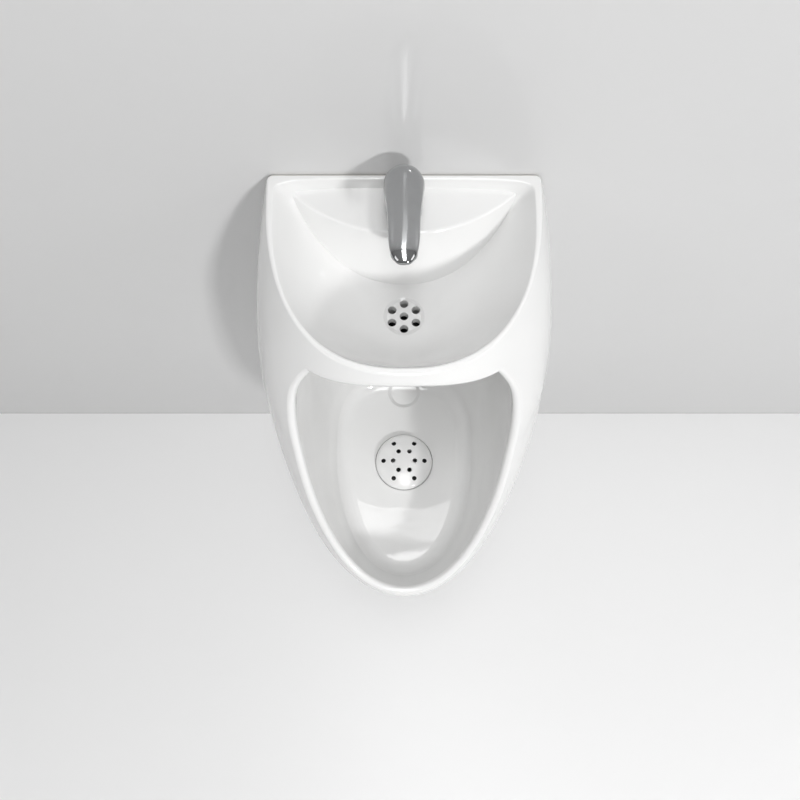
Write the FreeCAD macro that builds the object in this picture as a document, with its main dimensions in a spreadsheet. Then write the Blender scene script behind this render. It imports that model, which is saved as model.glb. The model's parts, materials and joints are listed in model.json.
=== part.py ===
"""Wall-hung urinal with a hand basin in its top: glazed body, mixer tap, rinse spreader, waste and trap.

Millimetres, +Z up, +Y into the wall, which is the plane Y = 0. The origin is midway between the two
wall fixings. A "reach" is a distance out from the wall, a "drop" a distance below the basin's rim.
"""
import FreeCAD, Part
import os
import re
from math import cos, pi, radians, sin
from types import SimpleNamespace

import Sketcher

V = FreeCAD.Vector

SIZES = {
    # Glazed body
    "rim_height": 90.0,
    "body_height": 575.0,
    "ceramic_wall": 11.0,
    "rim_half_width": 164.0,
    "rim_reach": 258.0,
    "belly_half_width": 187.0,
    "belly_drop": 150.0,
    "lip_reach": 470.0,
    "lip_drop": 350.0,
    "foot_half_width": 104.0,
    "foot_reach": 325.0,
    "corner_round": 8.0,
    "rim_round": 3.0,
    "rim_inner_round": 2.0,
    "lip_round": 6.0,
    # Hand basin
    "basin_half_width": 156.0,
    "basin_reach": 250.0,
    "basin_back": 7.0,
    "basin_centre": 32.0,
    "basin_depth": 105.0,
    "drain_reach": 138.0,
    "sump_radius": 27.0,
    "deck_drop": 15.0,
    "deck_reach": 73.0,
    "deck_curve": 193.0,
    "deck_round": 4.0,
    "drain_hole_radius": 5.5,
    "drain_hole_pitch": 17.6,
    "collar_radius": 32.0,
    "collar_wall": 7.0,
    "collar_length": 22.0,
    # Urinal bowl
    "mouth_half_width": 132.0,
    "mouth_shoulder_drop": 100.0,
    "bowl_floor_half_width": 107.0,
    "bowl_floor_reach": 432.0,
    "bowl_floor_back": 120.0,
    "bowl_floor_drop": 400.0,
    "bowl_floor_round": 25.0,
    "bowl_back": 95.0,
    "bowl_centre": 235.0,
    "ceiling_half_width": 100.0,
    "ceiling_reach": 178.0,
    "ceiling_drop": 190.0,
    "brow": 11.0,
    "arch_top_drop": 18.0,
    "arch_lead": 10.0,
    "sink_drop": 150.0,
    # How far the cutting shapes run on behind the wall and above the rim
    "behind_wall": 200.0,
    "above_rim": 40.0,
    # Wall fixing
    "web_thickness": 14.0,
    "web_skirt": 30.0,
    "fixing_spacing": 240.0,
    "fixing_bore": 5.25,
    "bush_radius": 8.5,
    "bush_flange_radius": 14.0,
    "bush_flange_height": 2.5,
    # Waste and strainer
    "waste_reach": 258.0,
    "ledge_depth": 7.0,
    "ledge_wall": 13.0,
    "boss_radius": 58.0,
    "strainer_radius": 45.5,
    "strainer_gap": 1.1,
    "strainer_edge": 2.5,
    "strainer_dome": 7.0,
    "strainer_seat": 38.0,
    "strainer_relief": 1.2,
    "strainer_leg": 12.0,
    "strainer_leg_wall": 1.2,
    "strainer_leg_gap": 24.0,
    "strainer_hole_radius": 3.6,
    "strainer_inner_pitch": 17.5,
    "strainer_outer_pitch": 33.0,
    "waste_flange_radius": 43.0,
    "waste_flange_height": 3.0,
    "waste_bore": 24.0,
    "waste_wall": 3.5,
    "waste_hole_gap": 1.5,
    "waste_length": 40.0,
    "waste_seal_height": 2.0,
    "waste_nut_width": 41.0,
    "waste_nut_height": 12.0,
    "lower_seal_radius": 36.5,
    "lower_seal_height": 3.0,
    "tail_collar_radius": 31.0,
    "tail_collar_height": 4.0,
    # Bottle trap
    "trap_seal_height": 3.0,
    "trap_neck_radius": 33.0,
    "trap_neck_length": 24.0,
    "trap_radius": 40.0,
    "trap_shoulder": 6.0,
    "trap_wall": 3.0,
    "trap_height": 88.0,
    "trap_nut_wall": 5.0,
    "trap_nut_lip": 4.0,
    "trap_nut_height": 29.0,
    "dip_radius": 17.0,
    "dip_wall": 2.0,
    "dip_length": 108.0,
    "dip_flange_radius": 22.5,
    "dip_flange_height": 4.0,
    "cup_wall": 3.5,
    "cup_skirt": 14.0,
    "cup_depth": 30.0,
    "cup_seal_height": 3.0,
    "outlet_drop": 52.0,
    "outlet_socket_radius": 20.0,
    "outlet_socket_length": 27.0,
    "outlet_insert": 20.0,
    "spigot_length": 35.0,
    "spigot_step": 0.4,
    "outlet_radius": 16.0,
    "outlet_wall": 2.0,
    "outlet_setback": 2.0,
    "outlet_seal_length": 4.0,
    "outlet_nut_wall": 5.0,
    "outlet_nut_length": 20.0,
    # Basin drain to rinse spreader
    "spreader_radius": 20.0,
    "spreader_wall": 3.0,
    "spreader_rise": 40.0,
    "spreader_hole_gap": 0.5,
    "spreader_flange_radius": 30.0,
    "spreader_flange_height": 4.0,
    "spreader_seal_height": 2.0,
    "spreader_nut_width": 30.0,
    "spreader_nut_height": 10.0,
    "cap_radius": 26.0,
    "cap_wall": 3.0,
    "cap_height": 16.0,
    "cap_slot_width": 5.0,
    "sleeve_wall": 3.0,
    "sleeve_grip": 16.0,
    "clip_width": 9.0,
    "clip_thickness": 2.0,
    # Tap body
    "tap_reach": 42.0,
    "tap_hole_radius": 14.0,
    "base_seal_height": 1.5,
    "base_seal_radius": 21.5,
    "column_radius": 22.0,
    "column_height": 40.5,
    "spout_reach": 127.0,
    "spout_half_width": 17.5,
    "spout_nose_half_width": 15.5,
    "spout_nose": 9.0,
    "spout_half_height": 9.0,
    "spout_rise": 29.0,
    "spout_bore": 3.5,
    "outlet_reach": 110.0,
    "aerator_radius": 11.0,
    "aerator_wall": 2.0,
    "aerator_height": 9.0,
    "aerator_proud": 3.0,
    "aerator_washer_height": 1.5,
    "aerator_hole_radius": 1.5,
    "aerator_hole_pitch": 4.5,
    "still_rise": 4.5,
    "inlet_radius": 4.0,
    "inlet_wall": 1.0,
    "inlet_half_spacing": 6.2,
    "inlet_forward": 5.0,
    "inlet_insert": 9.5,
    "inlet_drop": 130.0,
    "inlet_bend_below": 8.0,
    "inlet_bend_radius": 18.0,
    "inlet_bend_angle": 60.0,
    "inlet_splay": 28.0,
    "stud_radius": 3.0,
    "stud_back": 8.0,
    "stud_length": 46.0,
    "clamp_radius": 18.5,
    "clamp_slot_half_width": 11.5,
    "clamp_washer_height": 3.0,
    "clamp_plate_height": 3.0,
    "stud_nut_width": 5.8,
    "stud_nut_height": 6.0,
    # Cartridge and lever
    "chamber_radius": 17.5,
    "chamber_depth": 25.0,
    "cartridge_gap": 0.2,
    "cartridge_seal_height": 1.0,
    "cartridge_base_height": 10.0,
    "cartridge_shell_wall": 3.0,
    "cartridge_shell_rise": 18.0,
    "cartridge_lip": 2.0,
    "cartridge_nut_height": 4.0,
    "disc_height": 3.0,
    "port_radius": 2.7,
    "moving_disc_radius": 10.9,
    "carrier_radius": 8.0,
    "carrier_height": 9.0,
    "carrier_pocket_depth": 5.5,
    "running_gap": 0.3,
    "rotor_neck_radius": 11.0,
    "pivot_above_column": 8.0,
    "pivot_radius": 1.5,
    "pin_clearance": 0.05,
    "rotor_above_pivot": 2.5,
    "stem_half_width": 4.0,
    "stem_above_pivot": 15.0,
    "stem_below_pivot": 9.5,
    "disc_travel": 3.5,
    "outlet_port_back": 4.0,
    "base_way_radius": 2.3,
    "base_way_rise": 4.0,
    "mix_pocket_back": 3.0,
    "mix_pocket_radius": 6.0,
    "mix_pocket_depth": 1.5,
    "pocket_slack": 1.3,
    "dome_radius": 21.2,
    "dome_bore": 15.6,
    "dome_above_pivot": 8.0,
    "cap_gap": 0.4,
    "lever_cap_wall": 2.4,
    "lever_edge_above_pivot": 2.0,
    "lever_boss_radius": 8.0,
    "lever_boss_above_pivot": 7.0,
    "lever_root_forward": 6.0,
    "lever_root_rise": 3.0,
    "lever_root_half_width": 22.6,
    "lever_root_crown": 19.5,
    "lever_root_belly": 1.2,
    "lever_neck_reach": 97.0,
    "lever_neck_rise": 20.0,
    "lever_neck_half_width": 18.0,
    "lever_neck_crown": 7.0,
    "lever_neck_belly": 3.0,
    "lever_reach": 155.0,
    "lever_tip_rise": 30.0,
    "lever_tip_half_width": 16.4,
    "lever_tip_crown": 5.0,
    "lever_tip_belly": 2.5,
    "lever_nose": 17.0,
    "screw_radius": 2.0,
    "screw_above_pivot": 12.0,
}

PLACES = {
    "deck_top": "rim_height - deck_drop",
    "deck_under": "deck_top - ceramic_wall",
    "basin_bottom": "rim_height - basin_depth",
    "collar_top": "basin_bottom - ceramic_wall",
    "collar_foot": "collar_top - collar_length",
    "ceiling_face": "rim_height - ceiling_drop",
    "ceiling_top": "ceiling_face + ceramic_wall",
    "bowl_floor": "rim_height - bowl_floor_drop",
    "ledge_top": "bowl_floor - ledge_depth",
    "boss_foot": "ledge_top - ledge_wall",
    "flange_foot": "ledge_top + waste_seal_height",
    "flange_top": "flange_foot + waste_flange_height",
    "tail_radius": "waste_bore + waste_wall",
    "tail_foot": "flange_foot - waste_length",
    "lower_seal_foot": "boss_foot - lower_seal_height",
    "trap_top": "tail_foot - trap_seal_height",
    "trap_foot": "trap_top - trap_height",
    "cup_seal_foot": "trap_foot - cup_seal_height",
    "cup_foot": "cup_seal_foot - cup_depth",
    "outlet_level": "trap_top - outlet_drop",
    "spigot_radius": "outlet_radius - spigot_step",
    "socket_reach": "waste_reach - trap_radius - outlet_socket_length",
    "spreader_foot": "ceiling_face - spreader_seal_height - spreader_flange_height",
    "spreader_top": "spreader_foot + spreader_rise + spreader_flange_height",
    "column_foot": "deck_top + base_seal_height",
    "column_top": "column_foot + column_height",
    "chamber_floor": "column_top - chamber_depth",
    "cartridge_foot": "chamber_floor + cartridge_seal_height",
    "disc_foot": "cartridge_foot + cartridge_base_height",
    "moving_disc_foot": "disc_foot + disc_height",
    "carrier_foot": "moving_disc_foot + disc_height",
    "cartridge_radius": "chamber_radius - cartridge_gap",
    "shell_bore": "cartridge_radius - cartridge_shell_wall",
    "shell_top": "disc_foot + cartridge_shell_rise",
    "rotor_radius": "shell_bore - running_gap",
    "pivot_level": "column_top + pivot_above_column",
    "spout_level": "deck_top + spout_rise",
    "aerator_foot": "spout_level - spout_half_height - aerator_proud",
    "lever_cavity": "dome_radius + cap_gap",
    "lever_cap_radius": "lever_cavity + lever_cap_wall",
    "clamp_foot": "deck_under - clamp_washer_height",
    "plate_foot": "clamp_foot - clamp_plate_height",
}

doc = FreeCAD.newDocument("basin_urinal")
dims = doc.addObject("Spreadsheet::Sheet", "dims")
places = doc.addObject("Spreadsheet::Sheet", "places")
NAME = re.compile(r"[a-z][a-z_]+")


def cell(text):
    """A formula in plain size names, rewritten to read the sheets' cells."""
    return NAME.sub(lambda word: ("dims." if word.group() in SIZES else "places.") + word.group(), text)


def fill_sheets():
    for row, (alias, size) in enumerate(SIZES.items(), start=1):
        dims.set(f"A{row}", alias)
        dims.set(f"B{row}", str(size))
        dims.setAlias(f"B{row}", alias)
    doc.recompute()
    for row, (alias, formula) in enumerate(PLACES.items(), start=1):
        places.set(f"A{row}", alias)
        places.setAlias(f"B{row}", alias)
        places.set(f"B{row}", "=" + cell(formula).replace("places.", ""))
    doc.recompute()
    read = {alias: float(dims.get(alias)) for alias in SIZES}
    read.update({alias: float(places.get(alias)) for alias in PLACES})
    return SimpleNamespace(**read)


s = fill_sheets()
nodes = []
TURNED_TO = {
    "X": FreeCAD.Rotation(V(0, 0, 1), V(1, 0, 0)),
    "Y": FreeCAD.Rotation(V(0, 0, 1), V(0, 1, 0)),
    "Z": FreeCAD.Rotation(),
}


def keep(piece, label):
    """Marks a document object as one of the object's own pieces."""
    piece.Label = label
    nodes.append(piece)
    return piece


def place(piece, x="0", y="0", z="0", axis="Z"):
    piece.Placement = FreeCAD.Placement(V(), TURNED_TO[axis])
    for key, formula in zip("xyz", (x, y, z)):
        piece.setExpression("Placement.Base." + key, cell(formula))
    return piece


def cylinder(name, radius, height, x="0", y="0", z="0", axis="Z"):
    piece = doc.addObject("Part::Cylinder", name)
    piece.setExpression("Radius", cell(radius))
    piece.setExpression("Height", cell(height))
    return place(piece, x, y, z, axis)


def box(name, length, width, height, x, y, z):
    piece = doc.addObject("Part::Box", name)
    for key, formula in zip(("Length", "Width", "Height"), (length, width, height)):
        piece.setExpression(key, cell(formula))
    return place(piece, x, y, z)


def hexagon(name, across_corners, height, x, y, z):
    piece = doc.addObject("Part::Prism", name)
    piece.Polygon = 6
    piece.setExpression("Circumradius", cell(across_corners))
    piece.setExpression("Height", cell(height))
    return place(piece, x, y, z)


def joined(name, pieces):
    whole = doc.addObject("Part::MultiFuse", name)
    whole.Shapes = pieces
    return whole


def less(name, base, tools):
    rest = doc.addObject("Part::Cut", name)
    rest.Base = base
    rest.Tool = tools[0] if len(tools) == 1 else joined(name + "_tools", tools)
    return rest


def turned(name, profile, x="0", y="0", z="0", axis="Z"):
    """A turned piece: (radius, height above its foot) corners of half its section, spun about its axis."""
    body = doc.addObject("PartDesign::Body", name)
    sketch = body.newObject("Sketcher::SketchObject", name + "_section")
    plane = next(feature for feature in body.Origin.OriginFeatures if feature.Role == "XZ_Plane")
    sketch.AttachmentSupport = (plane, "")
    sketch.MapMode = "FlatFace"
    corners = []
    for corner in profile:
        radius, height = (float(dims.evalExpression(cell(formula))) for formula in corner)
        corners.append(V(radius, height, 0))
    count = len(corners)
    for i in range(count):
        sketch.addGeometry(Part.LineSegment(corners[i], corners[(i + 1) % count]))
    for i in range(count):
        sketch.addConstraint(Sketcher.Constraint("Coincident", i, 2, (i + 1) % count, 1))
    for i, corner in enumerate(profile):
        for way, formula, start in zip(("DistanceX", "DistanceY"), corner, (corners[i].x, corners[i].y)):
            index = sketch.addConstraint(Sketcher.Constraint(way, -1, 1, i, 1, start))
            sketch.setExpression(f"Constraints[{index}]", cell(formula))
    spin = body.newObject("PartDesign::Revolution", name + "_spin")
    spin.Profile = sketch
    spin.ReferenceAxis = (sketch, ["V_Axis"])
    spin.Angle = 360
    return place(body, x, y, z, axis)


def ring(name, inner, outer, height, x="0", y="0", z="0", axis="Z"):
    return turned(name, [(inner, "0"), (outer, "0"), (outer, height), (inner, height)], x, y, z, axis)


def formed(label, shape):
    """A piece whose free-form shape no single feature gives."""
    piece = doc.addObject("Part::Feature", label)
    piece.Shape = shape
    piece.Placement = FreeCAD.Placement()
    return keep(piece, label)


OVAL_POINTS = 36
FRONT, BACK = 1, -1


def oval(half_width, front, back, centre, front_power, back_power, seam=BACK):
    """(x, reach) points of a smooth plan outline: two half superellipses that share one width."""
    points = []
    for i in range(OVAL_POINTS):
        angle = 2 * pi * i / OVAL_POINTS + seam * pi / 2
        across, out = cos(angle), sin(angle)
        power = front_power if out >= 0 else back_power
        scale = (abs(across) ** power + abs(out) ** power) ** (-1 / power)
        half_length = front - centre if out >= 0 else centre - back
        points.append((half_width * across * scale, centre + half_length * out * scale))
    return points


def loft(sections, ruled=False):
    """A solid through (outline, drop below the rim) sections."""
    wires = []
    for points, drop in sections:
        level = s.rim_height - drop
        curve = Part.BSplineCurve()
        curve.interpolate(Points=[V(x, -reach, level) for x, reach in points], PeriodicFlag=True)
        wires.append(Part.Wire(curve.toShape()))
    return Part.makeLoft(wires, True, ruled)


def spaced(start, end, steps):
    return [start + (end - start) * i / steps for i in range(steps)]


EDGE_SLACK = 0.1
CUT_PAST = 1.0

# Where the lofts' sections lie, as shares of the way, and how fast each outline changes along it.
RIM_STATIONS = (0, 0.05, 0.13, 0.25, 0.4, 0.6, 0.8)
LIP_STEPS = 5
FOOT_STEPS = 6
SWELL_POWER = 3
TUCK_POWER = 2
LEAN_POWER = 1.4
EGG_WIDEST = 0.47
EGG_TAIL = 0.2
EGG_POWER = 1.95
RIM_POWER = 2.4
DISH_STATIONS = (1.0, 0.94, 0.84, 0.7, 0.52, 0.34)
DISH_POWER = 2.4
DISH_BACK_POWER = 5
DISH_BACK_LAG = 1.5
DECK_DRAFT = 0.24
ARCH_STATIONS = (0, 0.15, 0.33, 0.63)
BOWL_STEPS = 6
ARCH_POWER = 1.9
SINK_POWER = 1.6
BOWL_LEAN = 0.4
BOWL_POWER = 2.1
BOWL_BACK_POWER = 3
BROW_STATIONS = (0, 0.12, 0.25, 0.4, 0.55, 0.7, 0.85, 1.0)
BROW_POWER = 1.3
FLANK_POWER = 1.6
BROW_SQUARENESS = 3
BROW_SQUARING = 0.3


def egg(inset):
    """The body's outside, or its inside at a wall's thickness. It runs on behind the wall plane."""
    drops = [s.belly_drop * share for share in RIM_STATIONS] + spaced(s.belly_drop, s.lip_drop, LIP_STEPS)
    drops += spaced(s.lip_drop, s.body_height, FOOT_STEPS) + [s.body_height]
    sections = []
    for drop in drops:
        swell = max(0.0, 1 - drop / s.belly_drop)
        tuck = max(0.0, (drop - s.belly_drop) / (s.body_height - s.belly_drop))
        half_width = s.belly_half_width - (s.belly_half_width - s.rim_half_width) * swell ** SWELL_POWER
        half_width -= (s.belly_half_width - s.foot_half_width) * tuck ** TUCK_POWER
        lean = max(0.0, 1 - drop / s.lip_drop)
        under = max(0.0, (drop - s.lip_drop) / (s.body_height - s.lip_drop))
        front = s.lip_reach - (s.lip_reach - s.rim_reach) * lean ** LEAN_POWER
        front -= (s.lip_reach - s.foot_reach) * under ** TUCK_POWER
        centre = EGG_WIDEST * front * (1 - swell ** 2)
        power = EGG_POWER + (RIM_POWER - EGG_POWER) * swell
        back = -s.behind_wall - EGG_TAIL * centre
        sections.append((oval(half_width - inset, front - inset, back, centre, power, 2), drop))
    return loft(sections)


def basin(grow):
    """The basin's hollow: a dish cut off at the back by the tap deck."""
    least = s.sump_radius / s.basin_half_width
    sections = []
    for share in DISH_STATIONS + (least,):
        fall = (1 - share ** DISH_POWER) / (1 - least ** DISH_POWER)
        mix = (share - least) / (1 - least)
        half_width = s.sump_radius + (s.basin_half_width - s.sump_radius) * mix
        front = (s.drain_reach + s.sump_radius) * (1 - mix) + s.basin_reach * mix
        back = s.basin_back + (s.drain_reach - s.sump_radius - s.basin_back) * (1 - mix) ** DISH_BACK_LAG
        centre = s.drain_reach * (1 - mix) + s.basin_centre * mix
        front_power = 2 + (RIM_POWER - 2) * mix
        back_power = 2 + (DISH_BACK_POWER - 2) * mix
        outline = oval(half_width + grow, front + grow, back - grow, centre, front_power, back_power, FRONT)
        sections.append((outline, s.basin_depth * fall + grow))
    mouth, mouth_drop = sections[0]
    dish = loft(sections).fuse(loft([(mouth, -s.above_rim), (mouth, mouth_drop)], True))
    return dish.cut(tap_deck(grow))


def tap_deck(shrink):
    """The round-fronted shelf that carries the tap, as a drafted drum centred behind the wall."""
    height = s.basin_depth + s.above_rim
    top = s.deck_top - shrink
    foot = V(0, s.deck_curve - s.deck_reach, top - height)
    drum = Part.makeCone(s.deck_curve - shrink + DECK_DRAFT * height, s.deck_curve - shrink, height, foot)
    return drum.makeFillet(s.deck_round, level_edges(drum, top))


def bowl(grow):
    """The urinal bowl's hollow before the basin's underside closes it from above."""
    shoulder = s.mouth_shoulder_drop
    drops = [-s.above_rim, -s.above_rim / 2, 0]
    drops += [s.arch_top_drop + (shoulder - s.arch_top_drop) * share for share in ARCH_STATIONS]
    drops += spaced(shoulder, s.bowl_floor_drop, BOWL_STEPS) + [s.bowl_floor_drop]
    sections = []
    for drop in drops:
        sink = max(0.0, (drop - s.sink_drop) / (s.bowl_floor_drop - s.sink_drop))
        arch = max(0.0, 1 - (max(drop, s.arch_top_drop) + s.arch_lead) / (shoulder + s.arch_lead))
        half_width = s.mouth_half_width * (1 - arch ** ARCH_POWER) ** (1 / ARCH_POWER)
        half_width -= (s.mouth_half_width - s.bowl_floor_half_width) * sink ** SINK_POWER
        front = s.bowl_floor_reach + BOWL_LEAN * (s.bowl_floor_drop - drop)
        back = s.bowl_back + (s.bowl_floor_back - s.bowl_back) * sink
        outline = oval(half_width + grow, front + grow, back - grow, s.bowl_centre,
                       BOWL_POWER, BOWL_BACK_POWER)
        step = grow if drop == s.bowl_floor_drop else -grow if drop < shoulder else 0
        sections.append((outline, drop + step))
    return loft(sections)


def basin_underside(inset):
    """The bulging ceiling that the basin makes over the bowl, from its brow to its flat bottom."""
    brow_reach = s.rim_reach + s.brow
    sections = []
    for share in BROW_STATIONS:
        front = brow_reach - (brow_reach - s.ceiling_reach) * share ** BROW_POWER
        half_width = s.rim_half_width - (s.rim_half_width - s.ceiling_half_width) * share ** FLANK_POWER
        power = BROW_SQUARENESS + min(BROW_SQUARING, share)
        outline = oval(half_width - inset, front - inset, -s.behind_wall / 2, s.deck_reach,
                       power, BROW_SQUARENESS)
        sections.append((outline, share * (s.ceiling_drop - inset)))
    brow = sections[0][0]
    return loft(sections).fuse(loft([(brow, -s.above_rim), (brow, 0)], True))


def level_edges(shape, level, shortest=0.0):
    """Edges that lie flat at one height."""
    return [edge for edge in shape.Edges if edge.Length > shortest and
            max(abs(edge.BoundBox.ZMin - level), abs(edge.BoundBox.ZMax - level)) < EDGE_SLACK]


def wall_edges(body, shortest):
    """Edges that run up the wall plane, over some height."""
    return [edge for edge in body.Edges if edge.BoundBox.ZLength > shortest and
            max(abs(edge.BoundBox.YMin), abs(edge.BoundBox.YMax)) < EDGE_SLACK]


def mouth_edges(body):
    """The loop where the bowl opens through the outside: wholly before the ceiling and below the rim."""
    return [edge for edge in body.Edges if
            edge.BoundBox.YMax < -s.ceiling_reach and edge.BoundBox.ZMax < s.rim_height - s.rim_round]


def upright(radius, foot, top, x, reach):
    return Part.makeCylinder(radius, top - foot, V(x, -reach, foot))


def hexagon_spots(radius, reach):
    return [(radius * cos(radians(60 * i)), reach + radius * sin(radians(60 * i))) for i in range(6)]


def ceramic_body():
    """One slip-cast shell: outside, basin, bowl, the hollow between them and the holes for the fittings."""
    skin = egg(0)
    far = 2 * s.body_height
    behind_wall = Part.makeBox(far, far, far, V(-far / 2, 0, -far / 2))
    body = skin.cut(behind_wall)
    body = body.makeFillet(s.corner_round, wall_edges(body, s.belly_drop))
    body = body.makeFillet(s.rim_round, level_edges(body, s.rim_height))

    dish = basin(0)
    body = body.cut(dish)
    body = body.makeFillet(s.rim_inner_round, level_edges(body, s.rim_height, 4 * s.basin_half_width))

    cavity = bowl(0).cut(basin_underside(0))
    floor_edges = level_edges(cavity, s.bowl_floor, 4 * s.bowl_floor_half_width)
    cavity = cavity.makeFillet(s.bowl_floor_round, floor_edges)
    body = body.cut(cavity)
    body = body.makeFillet(s.lip_round, mouth_edges(body))

    wall = s.ceramic_wall
    web = Part.makeBox(far, s.web_thickness, far, V(-far / 2, -s.web_thickness, -s.web_skirt))
    boss = upright(s.boss_radius, s.boss_foot, s.bowl_floor, 0, s.waste_reach)
    collar = upright(s.collar_radius, s.collar_foot, s.basin_bottom, 0, s.drain_reach)
    hollow = egg(wall).cut(basin(wall)).cut(bowl(wall).cut(basin_underside(wall)))
    body = body.cut(hollow.cut([web, boss, collar]))
    return body.cut(ceramic_holes())


def ceramic_holes():
    drain = hexagon_spots(s.drain_hole_pitch, 0)
    drain = [(0, s.drain_reach)] + [(out, s.drain_reach + across) for across, out in drain]
    holes = [upright(s.drain_hole_radius, s.collar_foot, s.rim_height, x, reach) for x, reach in drain]
    holes.append(upright(s.collar_radius - s.collar_wall, s.collar_foot, s.collar_top, 0, s.drain_reach))
    holes.append(upright(s.spreader_radius + s.spreader_hole_gap,
                         s.ceiling_face - CUT_PAST, s.ceiling_top + CUT_PAST, 0, s.drain_reach))
    holes.append(upright(s.tap_hole_radius, s.deck_under - CUT_PAST, s.deck_top + CUT_PAST, 0, s.tap_reach))
    ledge_radius = s.strainer_radius + s.strainer_gap
    holes.append(upright(ledge_radius, s.ledge_top, s.bowl_floor + CUT_PAST, 0, s.waste_reach))
    tail_hole = s.tail_radius + s.waste_hole_gap
    holes.append(upright(tail_hole, s.boss_foot - CUT_PAST, s.bowl_floor, 0, s.waste_reach))
    for side in (-1, 1):
        foot = V(side * s.fixing_spacing / 2, -s.web_thickness - CUT_PAST, 0)
        holes.append(Part.makeCylinder(s.bush_radius, s.web_thickness + 2 * CUT_PAST, foot, V(0, 1, 0)))
    return holes


def fixing_bushes():
    """Two flanged bushes that line the fixing holes and carry the wall bolts' heads."""
    bushes = []
    for side in (-1, 1):
        foot = V(side * s.fixing_spacing / 2, -s.web_thickness - s.bush_flange_height, 0)
        length = s.web_thickness + s.bush_flange_height
        sleeve = Part.makeCylinder(s.bush_radius, length, foot, V(0, 1, 0))
        flange = Part.makeCylinder(s.bush_flange_radius, s.bush_flange_height, foot, V(0, 1, 0))
        bushes.append(sleeve.fuse(flange).cut(Part.makeCylinder(s.fixing_bore, length, foot, V(0, 1, 0))))
    formed("fixing_bushes", Part.Compound(bushes))


def strainer_plate():
    """A lift-out domed plate with two rings of holes and three legs that drop into the waste."""
    reach = s.waste_reach
    edge_top = s.flange_top + s.strainer_edge
    crown = edge_top + s.strainer_dome
    ball_radius = (s.strainer_radius ** 2 + s.strainer_dome ** 2) / (2 * s.strainer_dome)
    ball = Part.makeSphere(ball_radius, V(0, -reach, crown - ball_radius))
    plate = ball.common(upright(s.strainer_radius, s.flange_top, crown + CUT_PAST, 0, reach))
    plate = plate.cut(upright(s.strainer_seat, s.flange_top, s.flange_top + s.strainer_relief, 0, reach))
    spots = hexagon_spots(s.strainer_inner_pitch, reach) + hexagon_spots(s.strainer_outer_pitch, reach)
    hole = (s.strainer_hole_radius, s.flange_top, crown + CUT_PAST)
    plate = plate.cut([upright(*hole, x, out) for x, out in spots])

    leg_radius = s.waste_bore - s.running_gap
    leg_foot = s.flange_top - s.strainer_leg
    legs = upright(leg_radius, leg_foot, edge_top, 0, reach)
    legs = legs.cut(upright(leg_radius - s.strainer_leg_wall, leg_foot, edge_top, 0, reach))
    gap = Part.makeBox(2 * s.waste_bore, s.strainer_leg_gap, s.strainer_leg + s.strainer_relief,
                       V(0, -reach - s.strainer_leg_gap / 2, leg_foot))
    axis = (V(0, -reach, 0), V(0, 0, 1))
    legs = legs.cut([gap.rotated(*axis, turn) for turn in (0, 120, 240)])
    formed("strainer_plate", plate.fuse(legs).removeSplitter())


AT_WASTE = "-waste_reach"


def waste():
    """The threaded waste through the bowl's floor, clamped between two seals by its nut."""
    keep(ring("waste_seal_upper", "tail_radius", "waste_flange_radius", "waste_seal_height",
              y=AT_WASTE, z="ledge_top"), "waste_seal_upper")
    keep(turned("waste_body", [
        ("waste_bore", "0"),
        ("tail_collar_radius", "0"),
        ("tail_collar_radius", "tail_collar_height"),
        ("tail_radius", "tail_collar_height"),
        ("tail_radius", "waste_length"),
        ("waste_flange_radius", "waste_length"),
        ("waste_flange_radius", "waste_length + waste_flange_height"),
        ("waste_bore", "waste_length + waste_flange_height"),
    ], y=AT_WASTE, z="tail_foot"), "waste_body")
    keep(ring("waste_seal_lower", "tail_radius", "lower_seal_radius", "lower_seal_height",
              y=AT_WASTE, z="lower_seal_foot"), "waste_seal_lower")
    blank = hexagon("waste_nut_blank", "waste_nut_width", "waste_nut_height",
                    "0", AT_WASTE, "lower_seal_foot - waste_nut_height")
    bore = cylinder("waste_nut_bore", "tail_radius", "waste_nut_height",
                    y=AT_WASTE, z="lower_seal_foot - waste_nut_height")
    keep(less("waste_nut", blank, [bore]), "waste_nut")


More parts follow.
